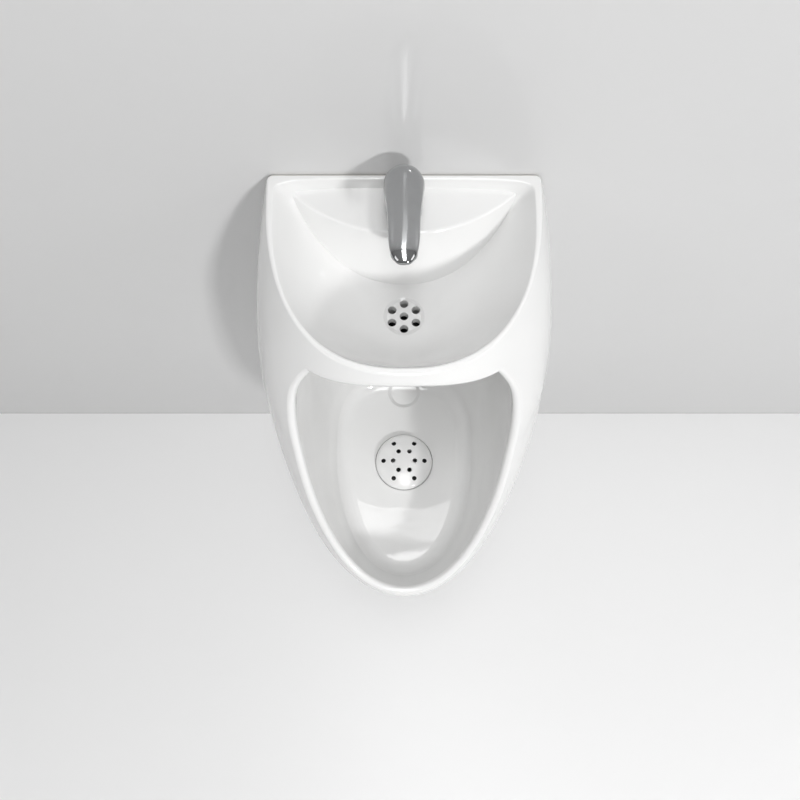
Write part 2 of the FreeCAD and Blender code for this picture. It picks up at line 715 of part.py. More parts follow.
def trap():
    """A bottle trap: union to the waste, body with a side outlet, dip tube and screw-off cup."""
    keep(ring("trap_inlet_seal", "waste_bore", "tail_collar_radius", "trap_seal_height",
              y=AT_WASTE, z="trap_top"), "trap_inlet_seal")
    nut_foot = "tail_foot + tail_collar_height + trap_nut_lip - trap_nut_height"
    keep(turned("trap_inlet_nut", [
        ("trap_neck_radius", "0"),
        ("trap_neck_radius + trap_nut_wall", "0"),
        ("trap_neck_radius + trap_nut_wall", "trap_nut_height"),
        ("tail_radius", "trap_nut_height"),
        ("tail_radius", "trap_nut_height - trap_nut_lip"),
        ("trap_neck_radius", "trap_nut_height - trap_nut_lip"),
    ], y=AT_WASTE, z=nut_foot), "trap_inlet_nut")

    shell = turned("trap_shell", [
        ("trap_radius - trap_wall", "0"),
        ("trap_radius", "0"),
        ("trap_radius", "trap_height - trap_neck_length - trap_shoulder"),
        ("trap_neck_radius", "trap_height - trap_neck_length"),
        ("trap_neck_radius", "trap_height"),
        ("dip_flange_radius", "trap_height"),
        ("dip_flange_radius", "trap_height - dip_flange_height"),
        ("dip_radius", "trap_height - dip_flange_height"),
        ("dip_radius", "trap_height - trap_neck_length - trap_shoulder - trap_wall"),
        ("trap_radius - trap_wall", "trap_height - trap_neck_length - trap_shoulder - trap_wall"),
    ], y=AT_WASTE, z="trap_foot")
    socket_length = "outlet_socket_length + trap_wall"
    socket_foot = "-waste_reach + trap_radius - trap_wall"
    socket = cylinder("outlet_socket", "outlet_socket_radius", socket_length,
                      y=socket_foot, z="outlet_level", axis="Y")
    core = cylinder("trap_core", "trap_radius - trap_wall", "trap_height",
                    y=AT_WASTE, z="trap_foot - trap_neck_length")
    whole = joined("trap_whole", [shell, less("outlet_socket_trimmed", socket, [core])])
    way_length = "trap_radius + outlet_socket_length - dip_flange_radius"
    way_out = cylinder("outlet_way", "spigot_radius", way_length,
                       y="-waste_reach + dip_flange_radius", z="outlet_level", axis="Y")
    keep(less("trap_body", whole, [way_out]), "trap_body")

    keep(turned("trap_dip_tube", [
        ("dip_radius - dip_wall", "0"),
        ("dip_radius", "0"),
        ("dip_radius", "dip_length - dip_flange_height"),
        ("dip_flange_radius", "dip_length - dip_flange_height"),
        ("dip_flange_radius", "dip_length"),
        ("dip_radius - dip_wall", "dip_length"),
    ], y=AT_WASTE, z="trap_top - dip_length"), "trap_dip_tube")
    keep(ring("trap_cup_seal", "trap_radius - trap_wall", "trap_radius", "cup_seal_height",
              y=AT_WASTE, z="cup_seal_foot"), "trap_cup_seal")
    keep(turned("trap_cup", [
        ("0", "0"),
        ("trap_radius", "0"),
        ("trap_radius", "cup_depth - cup_wall"),
        ("trap_radius + cup_wall", "cup_depth"),
        ("trap_radius + cup_wall", "cup_depth + cup_seal_height + cup_skirt"),
        ("trap_radius", "cup_depth + cup_seal_height + cup_skirt"),
        ("trap_radius", "cup_depth"),
        ("trap_radius - trap_wall", "cup_depth"),
        ("trap_radius - trap_wall", "cup_wall"),
        ("0", "cup_wall"),
    ], y=AT_WASTE, z="cup_foot"), "trap_cup")


def outlet():
    """The waste pipe from the trap to the wall, turned down at its spigot, with its nut and seal."""
    pipe_length = "socket_reach + outlet_insert - outlet_setback"
    keep(turned("outlet_pipe", [
        ("outlet_radius - outlet_wall", "0"),
        ("spigot_radius", "0"),
        ("spigot_radius", "spigot_length"),
        ("outlet_radius", "spigot_length"),
        ("outlet_radius", pipe_length),
        ("outlet_radius - outlet_wall", pipe_length),
    ], y="-socket_reach - outlet_insert", z="outlet_level", axis="Y"), "outlet_pipe")
    keep(ring("outlet_seal", "spigot_radius", "outlet_socket_radius", "outlet_seal_length",
              y="-socket_reach", z="outlet_level", axis="Y"), "outlet_seal")
    keep(turned("outlet_nut", [
        ("outlet_socket_radius", "0"),
        ("outlet_socket_radius + outlet_nut_wall", "0"),
        ("outlet_socket_radius + outlet_nut_wall", "outlet_nut_length"),
        ("spigot_radius", "outlet_nut_length"),
        ("spigot_radius", "outlet_nut_length - outlet_nut_wall"),
        ("outlet_socket_radius", "outlet_nut_length - outlet_nut_wall"),
    ], y="-socket_reach + outlet_seal_length - outlet_nut_length + outlet_nut_wall",
        z="outlet_level", axis="Y"), "outlet_nut")


AT_DRAIN = "-drain_reach"


def rinse_spreader():
    """The basin's water falls through a rubber sleeve to a spreader in the bowl's ceiling."""
    tube_top = "spreader_top - spreader_foot"
    keep(turned("spreader_body", [
        ("spreader_radius - spreader_wall", "0"),
        ("spreader_flange_radius", "0"),
        ("spreader_flange_radius", "spreader_flange_height"),
        ("spreader_radius", "spreader_flange_height"),
        ("spreader_radius", tube_top),
        ("spreader_radius - spreader_wall", tube_top),
    ], y=AT_DRAIN, z="spreader_foot"), "spreader_body")
    keep(ring("spreader_seal", "spreader_radius", "spreader_flange_radius", "spreader_seal_height",
              y=AT_DRAIN, z="spreader_foot + spreader_flange_height"), "spreader_seal")
    blank = hexagon("spreader_nut_blank", "spreader_nut_width", "spreader_nut_height",
                    "0", AT_DRAIN, "ceiling_top")
    bore = cylinder("spreader_nut_bore", "spreader_radius", "spreader_nut_height",
                    y=AT_DRAIN, z="ceiling_top")
    keep(less("spreader_nut", blank, [bore]), "spreader_nut")

    cap_foot = s.spreader_foot - s.cap_height
    cap_bore = s.cap_radius - s.cap_wall
    cup = upright(s.cap_radius, cap_foot, s.spreader_foot, 0, s.drain_reach)
    cup = cup.cut(upright(cap_bore, cap_foot + s.cap_wall, s.spreader_foot, 0, s.drain_reach))
    slot = Part.makeBox(3 * s.cap_radius, s.cap_slot_width, s.cap_height - 2 * s.cap_wall,
                        V(-1.5 * s.cap_radius, -s.drain_reach - s.cap_slot_width / 2, cap_foot + s.cap_wall))
    axis = (V(0, -s.drain_reach, 0), V(0, 0, 1))
    formed("spreader_cap", cup.cut([slot.rotated(*axis, turn) for turn in (0, 60, 120)]))

    foot, top = "ceiling_top + spreader_nut_height + sleeve_wall", "collar_foot"
    grip_foot = f"({top}) - ({foot})"
    keep(turned("drain_sleeve", [
        ("spreader_radius", "0"),
        ("spreader_radius + sleeve_wall", "0"),
        ("spreader_radius + sleeve_wall", "sleeve_grip - sleeve_wall"),
        ("collar_radius + sleeve_wall", grip_foot + " - sleeve_wall"),
        ("collar_radius + sleeve_wall", grip_foot + " + sleeve_grip"),
        ("collar_radius", grip_foot + " + sleeve_grip"),
        ("collar_radius", grip_foot),
        ("spreader_radius", "sleeve_grip"),
    ], y=AT_DRAIN, z=foot), "drain_sleeve")
    for name, radius, level in (("sleeve_clip_upper", "collar_radius + sleeve_wall", top),
                                ("sleeve_clip_lower", "spreader_radius + sleeve_wall", foot)):
        keep(ring(name, radius, radius + " + clip_thickness", "clip_width",
                  y=AT_DRAIN, z=level + " + sleeve_wall"), name)


AT_TAP = "-tap_reach"


SECTION_POWER = 2.3
SECTION_POINTS = 24
LEG_STEPS = 4
NOSE_TURNS = (0, 20, 38, 54, 68)
NOSE_POWER = 0.8


def cross_section(reach, level, half_width, crown, belly):
    """A soft-cornered upright section across the spout or the lever, crowned above and below its level."""
    points = []
    for i in range(SECTION_POINTS):
        across, up = cos(2 * pi * i / SECTION_POINTS), sin(2 * pi * i / SECTION_POINTS)
        scale = (abs(across) ** SECTION_POWER + abs(up) ** SECTION_POWER) ** (-1 / SECTION_POWER)
        rise = (crown if up > 0 else belly) * up * scale
        points.append(V(half_width * across * scale, -reach, level + rise))
    curve = Part.BSplineCurve()
    curve.interpolate(Points=points, PeriodicFlag=True)
    return Part.Wire(curve.toShape())


def tongue(bends, nose):
    """A bar with a rounded nose, through (reach, level, half width, crown, belly) sections."""
    stations = []
    for start, end in zip(bends, bends[1:]):
        for step in range(LEG_STEPS):
            stations.append([a + (b - a) * step / LEG_STEPS for a, b in zip(start, end)])
    reach, level, *halves = bends[-1]
    slope = (level - bends[-2][1]) / (reach - bends[-2][0])
    for turn in NOSE_TURNS:
        along = nose * sin(radians(turn)) / sin(radians(NOSE_TURNS[-1]))
        full = cos(radians(turn)) ** NOSE_POWER
        stations.append([reach + along, level + slope * along] + [half * full for half in halves])
    return Part.makeLoft([cross_section(*station) for station in stations], True, False)


def tap_body():
    """The tap's casting: a round column for the cartridge, with a low spout that reaches over the basin."""
    reach = s.tap_reach
    column = upright(s.column_radius, s.column_foot, s.column_top, 0, reach)
    spout_height = (s.spout_half_height, s.spout_half_height)
    spout = tongue([(reach, s.spout_level, s.spout_half_width, *spout_height),
                    (s.spout_reach - s.spout_nose, s.spout_level, s.spout_nose_half_width, *spout_height)],
                   s.spout_nose)
    chamber = upright(s.chamber_radius, s.chamber_floor, s.column_top + CUT_PAST, 0, reach)
    washer_top = s.aerator_foot + s.aerator_height + s.aerator_washer_height
    still_radius = s.aerator_radius - 2 * s.aerator_wall
    still_top = s.spout_level + s.still_rise
    tools = [
        chamber,
        upright(s.aerator_radius, s.aerator_foot, washer_top, 0, s.outlet_reach),
        upright(still_radius, s.aerator_foot, still_top, 0, s.outlet_reach),
        upright(s.stud_radius, s.column_foot, s.column_foot + s.inlet_insert, 0, reach - s.stud_back),
    ]
    start = V(0, -reach - s.chamber_radius + s.spout_bore, s.disc_foot - s.base_way_rise)
    way = V(0, -s.outlet_reach, still_top - s.spout_bore) - start
    tools.append(Part.makeCylinder(s.spout_bore, way.Length, start, way))
    for side in (-1, 1):
        x, out = side * s.inlet_half_spacing, reach + s.inlet_forward
        tools.append(upright(s.inlet_radius, s.column_foot, s.column_foot + s.inlet_insert, x, out))
        tools.append(upright(s.port_radius, s.column_foot, s.chamber_floor + CUT_PAST, x, out))
    formed("tap_body", column.fuse(spout).cut(tools).removeSplitter())


def inlet_tail(name, side):
    """A copper tail that drops from the column, splays out under the clamp and ends in a straight run."""
    x, y = side * s.inlet_half_spacing, -s.tap_reach - s.inlet_forward
    turn, radius = radians(s.inlet_bend_angle), s.inlet_bend_radius
    top = V(x, y, s.column_foot + s.inlet_insert)
    bend = V(x, y, s.plate_foot - s.inlet_bend_below)
    around = bend + V(side * radius, 0, 0)
    bend_middle = around + V(-side * cos(turn / 2), 0, -sin(turn / 2)) * radius
    bend_end = around + V(-side * cos(turn), 0, -sin(turn)) * radius
    slant = (s.inlet_splay - 2 * radius * (1 - cos(turn))) / sin(turn)
    middle = bend_end + V(side * sin(turn), 0, -cos(turn)) * (slant / 2)
    upper = [bend, bend_middle, bend_end]
    lower = [middle * 2 - point for point in reversed(upper)]
    foot = V(lower[-1].x, y, top.z - s.inlet_drop)
    path = Part.Wire([
        Part.makeLine(top, bend), Part.Arc(*upper).toShape(), Part.makeLine(bend_end, lower[0]),
        Part.Arc(*lower).toShape(), Part.makeLine(lower[-1], foot),
    ])
    outer, inner = (
        path.makePipeShell([Part.Wire(Part.Circle(top, V(0, 0, 1), size).toShape())], True, True)
        for size in (s.inlet_radius, s.inlet_radius - s.inlet_wall))
    formed(name, outer.cut(inner))


def tap_fixing():
    """Base seal, stud, clamp washer, clamp plate and nut, and the two inlet tails."""
    keep(ring("tap_base_seal", "tap_hole_radius", "base_seal_radius", "base_seal_height",
              y=AT_TAP, z="deck_top"), "tap_base_seal")
    stud_y = "-tap_reach + stud_back"
    stud_top = "column_foot + inlet_insert"
    stud = cylinder("tap_stud", "stud_radius", "stud_length", y=stud_y, z=stud_top + " - stud_length")
    keep(stud, "tap_stud")
    for name, level, height in (("clamp_washer", "clamp_foot", "clamp_washer_height"),
                                ("clamp_plate", "plate_foot", "clamp_plate_height")):
        disc = cylinder(name + "_disc", "clamp_radius", height, y=AT_TAP, z=level)
        slot = box(name + "_slot",
                   "2 * clamp_slot_half_width", "clamp_radius + stud_back - 2 * stud_radius", height,
                   "-clamp_slot_half_width", "-tap_reach - clamp_radius", level)
        hole = cylinder(name + "_hole", "stud_radius", height, y=stud_y, z=level)
        keep(less(name, disc, [slot, hole]), name)
    nut_foot = "plate_foot - stud_nut_height"
    blank = hexagon("stud_nut_blank", "stud_nut_width", "stud_nut_height", "0", stud_y, nut_foot)
    bore = cylinder("stud_nut_bore", "stud_radius", "stud_nut_height", y=stud_y, z=nut_foot)
    keep(less("stud_nut", blank, [bore]), "stud_nut")
    inlet_tail("hot_inlet_tail", -1)
    inlet_tail("cold_inlet_tail", 1)


def aerator():
    keep(ring("aerator_shell", "aerator_radius - aerator_wall", "aerator_radius", "aerator_height",
              y="-outlet_reach", z="aerator_foot"), "aerator_shell")
    keep(ring("aerator_washer",
              "aerator_radius - 2 * aerator_wall", "aerator_radius", "aerator_washer_height",
              y="-outlet_reach", z="aerator_foot + aerator_height"), "aerator_washer")
    bore = s.aerator_radius - s.aerator_wall
    foot, top = s.aerator_foot + s.aerator_wall, s.aerator_foot + s.aerator_height
    insert = upright(bore, foot, top, 0, s.outlet_reach)
    spots = [(0, s.outlet_reach)] + hexagon_spots(s.aerator_hole_pitch, s.outlet_reach)
    holes = [upright(s.aerator_hole_radius, foot, top, x, reach) for x, reach in spots]
    formed("aerator_insert", insert.cut(holes))


def ports(name, level, height):
    """Two inlet ports and the outlet port, through one disc of the cartridge."""
    inlets_y = "-tap_reach - inlet_forward"
    return [
        cylinder(name + "_hot_port", "port_radius", height, "-inlet_half_spacing", inlets_y, level),
        cylinder(name + "_cold_port", "port_radius", height, "inlet_half_spacing", inlets_y, level),
        cylinder(name + "_outlet_port", "port_radius", height, "0", "-tap_reach + outlet_port_back", level),
    ]


def cartridge():
    """A two-disc ceramic cartridge: base, discs, carrier and rotor in a shell held down by a ring nut."""
    keep(ring("cartridge_seal",
              "cartridge_radius - 2 * port_radius", "cartridge_radius", "cartridge_seal_height",
              y=AT_TAP, z="chamber_floor"), "cartridge_seal")
    base = cylinder("cartridge_base_blank", "cartridge_radius", "cartridge_base_height",
                    y=AT_TAP, z="cartridge_foot")
    holes = ports("base", "cartridge_foot", "cartridge_base_height")
    holes[2].setExpression("Height", cell("base_way_rise + port_radius"))
    holes[2].setExpression("Placement.Base.z", cell("disc_foot - base_way_rise - port_radius"))
    side_way = cylinder("base_side_way", "base_way_radius", "cartridge_radius + outlet_port_back",
                        y="-tap_reach - cartridge_radius", z="disc_foot - base_way_rise", axis="Y")
    keep(less("cartridge_base", base, holes + [side_way]), "cartridge_base")
    blank = cylinder("fixed_disc_blank", "shell_bore", "disc_height", y=AT_TAP, z="disc_foot")
    keep(less("fixed_disc", blank, ports("fixed_disc", "disc_foot", "disc_height")), "fixed_disc")
    blank = cylinder("moving_disc_blank", "moving_disc_radius", "disc_height",
                     y=AT_TAP, z="moving_disc_foot")
    pocket = cylinder("mix_pocket", "mix_pocket_radius", "mix_pocket_depth",
                      y="-tap_reach + mix_pocket_back", z="moving_disc_foot")
    keep(less("moving_disc", blank, [pocket]), "moving_disc")
    lower = "column_top - cartridge_nut_height - disc_foot"
    keep(turned("cartridge_shell", [
        ("shell_bore", "0"),
        ("cartridge_radius", "0"),
        ("cartridge_radius", lower),
        ("cartridge_radius - cartridge_lip", lower),
        ("cartridge_radius - cartridge_lip", "cartridge_shell_rise"),
        ("rotor_neck_radius + running_gap", "cartridge_shell_rise"),
        ("rotor_neck_radius + running_gap", "cartridge_shell_rise - cartridge_lip"),
        ("shell_bore", "cartridge_shell_rise - cartridge_lip"),
    ], y=AT_TAP, z="disc_foot"), "cartridge_shell")
    keep(ring("cartridge_nut", "cartridge_radius - cartridge_lip", "chamber_radius", "cartridge_nut_height",
              y=AT_TAP, z="column_top - cartridge_nut_height"), "cartridge_nut")


def lever_train():
    """What turns with the lever: carrier, rotor, pivot pin and the stem that rocks on it."""
    carrier = cylinder("disc_carrier_blank", "carrier_radius", "carrier_height", y=AT_TAP, z="carrier_foot")
    pocket = box("carrier_pocket",
                 "2 * (stem_half_width + running_gap)", "2 * (stem_half_width + pocket_slack)",
                 "carrier_pocket_depth",
                 "-stem_half_width - running_gap", "-tap_reach - stem_half_width - pocket_slack",
                 "carrier_foot + carrier_height - carrier_pocket_depth")
    keep(less("disc_carrier", carrier, [pocket]), "disc_carrier")

    reach = s.tap_reach
    rotor_foot = s.carrier_foot + s.running_gap
    shoulder = s.shell_top - s.cartridge_lip - s.running_gap
    neck_top = s.pivot_level + s.rotor_above_pivot
    rotor = upright(s.rotor_radius, rotor_foot, shoulder, 0, reach)
    rotor = rotor.fuse(upright(s.rotor_neck_radius, rotor_foot, neck_top, 0, reach))
    slide_radius = s.carrier_radius + s.running_gap
    slide_top = s.carrier_foot + s.carrier_height + s.running_gap
    stem_slot = s.stem_half_width + s.running_gap
    slot_length = 2 * (s.rotor_neck_radius - s.disc_travel)
    tools = [
        upright(slide_radius, rotor_foot, slide_top, 0, reach),
        upright(slide_radius, rotor_foot, slide_top, 0, reach + s.disc_travel),
        Part.makeBox(2 * slide_radius, s.disc_travel, slide_top - rotor_foot,
                     V(-slide_radius, -reach - s.disc_travel, rotor_foot)),
        Part.makeBox(2 * stem_slot, slot_length, neck_top - rotor_foot,
                     V(-stem_slot, -reach - slot_length / 2, rotor_foot)),
        Part.makeCylinder(s.pivot_radius, 2 * s.rotor_radius,
                          V(-s.rotor_radius, -reach, s.pivot_level), V(1, 0, 0)),
    ]
    formed("cartridge_rotor", rotor.cut(tools).removeSplitter())
    keep(cylinder("pivot_pin", "pivot_radius", "2 * (rotor_neck_radius - running_gap)",
                  "-rotor_neck_radius + running_gap", AT_TAP, "pivot_level", "X"), "pivot_pin")

    bar = box("stem_bar",
              "2 * stem_half_width", "2 * stem_half_width", "stem_above_pivot + stem_below_pivot",
              "-stem_half_width", "-tap_reach - stem_half_width", "pivot_level - stem_below_pivot")
    eye = cylinder("stem_eye", "pivot_radius + pin_clearance", "2 * stem_half_width",
                   "-stem_half_width", AT_TAP, "pivot_level", "X")
    keep(less("lever_stem", bar, [eye]), "lever_stem")


def lever():
    """The dome ring on the column and the lever: a round cap on the stem with a paddle over the spout."""
    pivot = V(0, -s.tap_reach, s.pivot_level)
    span = (s.column_top, s.pivot_level + s.dome_above_pivot, 0, s.tap_reach)
    dome = Part.makeSphere(s.dome_radius, pivot).common(upright(s.dome_radius, *span))
    formed("tap_dome", dome.cut(upright(s.dome_bore, *span)))

    edge = s.pivot_level + s.lever_edge_above_pivot
    top = s.pivot_level + s.lever_cap_radius + CUT_PAST
    cap = Part.makeSphere(s.lever_cap_radius, pivot).common(
        upright(s.lever_cap_radius + CUT_PAST, edge, top, 0, s.tap_reach))
    paddle = tongue([
        (s.tap_reach + s.lever_root_forward, s.pivot_level + s.lever_root_rise,
         s.lever_root_half_width, s.lever_root_crown, s.lever_root_belly),
        (s.lever_neck_reach, s.pivot_level + s.lever_neck_rise,
         s.lever_neck_half_width, s.lever_neck_crown, s.lever_neck_belly),
        (s.lever_reach - s.lever_nose, s.pivot_level + s.lever_tip_rise,
         s.lever_tip_half_width, s.lever_tip_crown, s.lever_tip_belly),
    ], s.lever_nose)
    boss = upright(s.lever_boss_radius,
                   s.pivot_level + s.lever_boss_above_pivot, s.pivot_level + s.lever_cavity, 0, s.tap_reach)
    whole = cap.fuse(paddle).cut(Part.makeSphere(s.lever_cavity, pivot)).fuse(boss)
    half = s.stem_half_width
    socket = Part.makeBox(2 * half, 2 * half, s.stem_above_pivot, pivot - V(half, half, 0))
    screw_foot = pivot + V(0, half, s.screw_above_pivot)
    screw_hole = Part.makeCylinder(s.screw_radius, s.lever_cap_radius, screw_foot, V(0, 1, 0))
    formed("tap_lever", whole.cut([socket, screw_hole]).removeSplitter())
    screw = cylinder("lever_screw", "screw_radius", "lever_boss_radius - stem_half_width",
                     y="-tap_reach + stem_half_width", z="pivot_level + screw_above_pivot", axis="Y")
    keep(screw, "lever_screw")


def write_pieces():
    doc.recompute()
    for piece in doc.Objects:
        if "Invalid" in piece.State or "Error" in piece.State:
            raise RuntimeError(f"{piece.Label} failed: {piece.State}")
    for piece in nodes:
        if piece.Shape.isNull() or not piece.Shape.isValid():
            raise RuntimeError(f"{piece.Label} has no sound shape")
    os.makedirs("parts", exist_ok=True)
    for piece in nodes:
        piece.Shape.exportStep(f"parts/{piece.Label}.step")


formed("ceramic_body", ceramic_body())
fixing_bushes()
strainer_plate()
waste()
trap()
outlet()
rinse_spreader()
tap_body()
tap_fixing()
aerator()
cartridge()
lever_train()
lever()
write_pieces()
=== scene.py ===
# %% [markdown]
# # A wall-hung urinal with a hand basin
#
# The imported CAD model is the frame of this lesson: it holds every piece at its real size, in metres.
# The cells below light it as the photograph is lit, give each piece the finish of its real material,
# and model again, by hand, the pieces whose rolled edges, ribs and screws a plain solid leaves out.

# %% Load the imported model
import json
from math import cos, pi, radians, sin

import bpy
from mathutils import Matrix, Vector


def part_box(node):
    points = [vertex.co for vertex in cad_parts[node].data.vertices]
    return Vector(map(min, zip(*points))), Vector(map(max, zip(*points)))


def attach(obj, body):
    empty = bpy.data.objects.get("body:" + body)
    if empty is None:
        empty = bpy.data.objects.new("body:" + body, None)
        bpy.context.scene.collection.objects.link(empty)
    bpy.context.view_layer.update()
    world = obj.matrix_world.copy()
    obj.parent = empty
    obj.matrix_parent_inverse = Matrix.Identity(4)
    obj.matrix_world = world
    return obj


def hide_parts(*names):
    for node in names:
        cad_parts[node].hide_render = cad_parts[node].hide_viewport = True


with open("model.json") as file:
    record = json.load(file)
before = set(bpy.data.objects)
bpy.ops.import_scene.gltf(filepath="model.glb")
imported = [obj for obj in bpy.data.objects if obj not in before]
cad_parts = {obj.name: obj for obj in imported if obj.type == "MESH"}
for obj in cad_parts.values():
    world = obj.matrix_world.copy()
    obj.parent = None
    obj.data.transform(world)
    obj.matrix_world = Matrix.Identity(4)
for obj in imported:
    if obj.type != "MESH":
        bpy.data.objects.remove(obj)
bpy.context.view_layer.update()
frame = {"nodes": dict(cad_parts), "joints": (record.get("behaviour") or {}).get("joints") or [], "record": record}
nodes = frame["nodes"]
record = frame["record"]
scene = bpy.context.scene
scene.view_settings.view_transform = "Standard"
bpy.ops.object.select_all(action="DESELECT")


# %% [markdown]
# ## Camera
#
# The photograph looks steeply down into the basin from a person's height. A camera could be placed by
# eye, but the body's rim, lip and strainer fix it: one lens length, height and tilt puts all of them on
# their places. The lens is short, so the near rim looks larger than the foot, as it does in the picture.

# %% Camera
CAMERA_PLACE = (0.0, -0.527, 0.80)
CAMERA_TILT = 18.7
LENS_MM = 31.5
MIDDLE_SHIFT = -0.005
NEAREST = 0.01

bpy.ops.object.camera_add(location=CAMERA_PLACE, rotation=(radians(CAMERA_TILT), 0, 0))
camera = bpy.context.object
camera.data.lens = LENS_MM
camera.data.shift_x = MIDDLE_SHIFT
camera.data.clip_start = NEAREST
scene.camera = camera
print("camera", CAMERA_PLACE, "tilted", CAMERA_TILT, "degrees from straight down")

# %% [markdown]
# ## Floor and wall
#
# The body hangs on a pale wall over a pale floor, and its shadow on the wall tells the eye how far it
# stands out. Both are plain planes and belong to the stage. A whole wall would leave the fittings behind
# the body in the dark, so its middle is inset and deleted. That window is smaller than the body's back,
# which hides it from the front, and lets light in from behind.

# %% Floor and wall
FLOOR_LEVEL = -0.86
STAGE_SIZE = 14.0
WALL_GAP = 0.0005
WINDOW_SIZE = (0.305, 0.295)
WINDOW_MIDDLE = -0.0725


def stage_plane(name, place, turn, wider=(0, 0)):
    """A square of the stage's size, made wider and higher by an opening, with its place in its mesh."""
    bpy.ops.mesh.primitive_plane_add(size=1, location=place, rotation=turn)
    plane = bpy.context.object
    plane.name = name
    plane.scale = (STAGE_SIZE + wider[0], STAGE_SIZE + wider[1], 1)
    bpy.ops.object.transform_apply(location=True, rotation=True, scale=True)
    return plane


floor = stage_plane("floor", (0, -STAGE_SIZE / 2, FLOOR_LEVEL), (0, 0, 0))
wall = stage_plane("wall", (0, WALL_GAP, WINDOW_MIDDLE), (radians(90), 0, 0), WINDOW_SIZE)
bpy.ops.object.mode_set(mode="EDIT")
bpy.ops.mesh.select_all(action="SELECT")
bpy.ops.mesh.inset(thickness=STAGE_SIZE / 2)
bpy.ops.mesh.delete(type="FACE")
bpy.ops.mesh.select_all(action="SELECT")
bpy.ops.mesh.bisect(plane_co=(0, 0, FLOOR_LEVEL), plane_no=(0, 0, 1), clear_inner=True)
bpy.ops.object.mode_set(mode="OBJECT")
print("wall of", len(wall.data.polygons), "faces round a window of", WINDOW_SIZE, "m")

# %% [markdown]
# ## Nodes by name
#
# Every finish below is a Principled BSDF whose colour, roughness and bump come from procedural nodes on
# Object coordinates, so nothing depends on UV maps. Nodes could be set up one property at a time. A few
# helpers, which add a node and fill in its inputs by name, keep each finish short enough to read.

# %% Nodes by name
def set_inputs(node, inputs):
    """Fills in a node's inputs; blanks in their names are written as underscores."""
    for name, value in inputs.items():
        node.inputs[name.replace("_", " ")].default_value = value
    return node


def new_node(tree, kind, **inputs):
    return set_inputs(tree.nodes.new("ShaderNode" + kind), inputs)


def new_finish(name):
    """A material, its node tree and its Principled BSDF."""
    material = bpy.data.materials.new(name)
    material.use_nodes = True
    return material, material.node_tree, material.node_tree.nodes["Principled BSDF"]


def new_group(name, inputs, outputs):
    """A node group with number inputs {name: default} and number outputs."""
    group = bpy.data.node_groups.new(name, "ShaderNodeTree")
    for key, value in inputs.items():
        socket = group.interface.new_socket(name=key, in_out="INPUT", socket_type="NodeSocketFloat")
        socket.default_value = value
    for key in outputs:
        group.interface.new_socket(name=key, in_out="OUTPUT", socket_type="NodeSocketFloat")
    return group, group.nodes.new("NodeGroupInput"), group.nodes.new("NodeGroupOutput")


def place_group(tree, group, **inputs):
    node = new_node(tree, "Group")
    node.node_tree = group
    return set_inputs(node, inputs)


def combine(tree, operation, first, second):
    """Two numbers made into one by a Math node."""
    node = new_node(tree, "Math")
    node.operation = operation
    tree.links.new(first, node.inputs[0])
    tree.links.new(second, node.inputs[1])
    return node.outputs["Value"]


print("node helpers ready")

# %% [markdown]
# ## From a number to a look
#
# A noise node gives each point of a surface a number from 0 to 1. A finish is what such numbers turn
# into: a tone between two colours, a span of roughness or the height of a bump. A bump could be baked
# into the mesh, but the ripple of a glaze is far finer than any mesh that is pleasant to work with.

# %% From a number to a look
def tone(tree, number, span, colours):
    """Runs from one colour to the other while the number crosses the span."""
    node = new_node(tree, "ValToRGB")
    for stop, position, colour in zip(node.color_ramp.elements, span, colours):
        stop.position = position
        stop.color = (*colour, 1)
    tree.links.new(number, node.inputs["Fac"])
    return node.outputs["Color"]


def spread(tree, number, span, result=(0.0, 1.0)):
    """Maps one span onto another and stops at its ends."""
    node = new_node(tree, "MapRange", From_Min=span[0], From_Max=span[1], To_Min=result[0], To_Max=result[1])
    tree.links.new(number, node.inputs["Value"])
    return node.outputs["Result"]


def bump(tree, shader, height, distance):
    """Adds a bump; a second one rides on the first."""
    node = new_node(tree, "Bump", Distance=distance)
    for link in shader.inputs["Normal"].links:
        tree.links.new(link.from_socket, node.inputs["Normal"])
    tree.links.new(height, node.inputs["Height"])
    tree.links.new(node.outputs["Normal"], shader.inputs["Normal"])


def blend_in(tree, socket, mask, value):
    """Turns one linked input into a fixed colour or number where the mask is 1."""
    mix = new_node(tree, "Mix")
    mix.data_type = "RGBA" if isinstance(value, tuple) else "FLOAT"
    first, second = [s for s in mix.inputs if s.enabled and s.name in ("A", "B")]
    result = next(s for s in mix.outputs if s.enabled)
    tree.links.new(socket.links[0].from_socket, first)
    second.default_value = value
    tree.links.new(mask, mix.inputs["Factor"])
    tree.links.new(result, socket)


print("look helpers ready")

# %% [markdown]
# ## Soft ripple
#
# Glaze is poured on, plastic and rubber are moulded, and all of them keep a slow swell and a fine orange
# peel. Two noises of different scale, mixed by a share, give both. Several finishes use the effect, so it
# is a node group: built once, and placed in each material with its own numbers.

# %% Soft ripple
def soft_ripple_group():
    scales = {"Swell Scale": 9.0, "Peel Scale": 160.0, "Peel Share": 0.3}
    group, into, out = new_group("soft ripple", scales, ["Height", "Tone"])
    place = new_node(group, "TexCoord")
    swell = new_node(group, "TexNoise", Detail=2.0, Roughness=0.45)
    peel = new_node(group, "TexNoise", Detail=3.0, Roughness=0.55)
    mix = new_node(group, "Mix")
    for noise, scale in ((swell, "Swell Scale"), (peel, "Peel Scale")):
        group.links.new(place.outputs["Object"], noise.inputs["Vector"])
        group.links.new(into.outputs[scale], noise.inputs["Scale"])
    group.links.new(into.outputs["Peel Share"], mix.inputs["Factor"])
    group.links.new(swell.outputs["Fac"], mix.inputs["A"])
    group.links.new(peel.outputs["Fac"], mix.inputs["B"])
    group.links.new(mix.outputs["Result"], out.inputs["Height"])
    group.links.new(swell.outputs["Fac"], out.inputs["Tone"])
    return group


soft_ripple = soft_ripple_group()
print("effect", soft_ripple.name, "of", len(soft_ripple.nodes), "nodes")

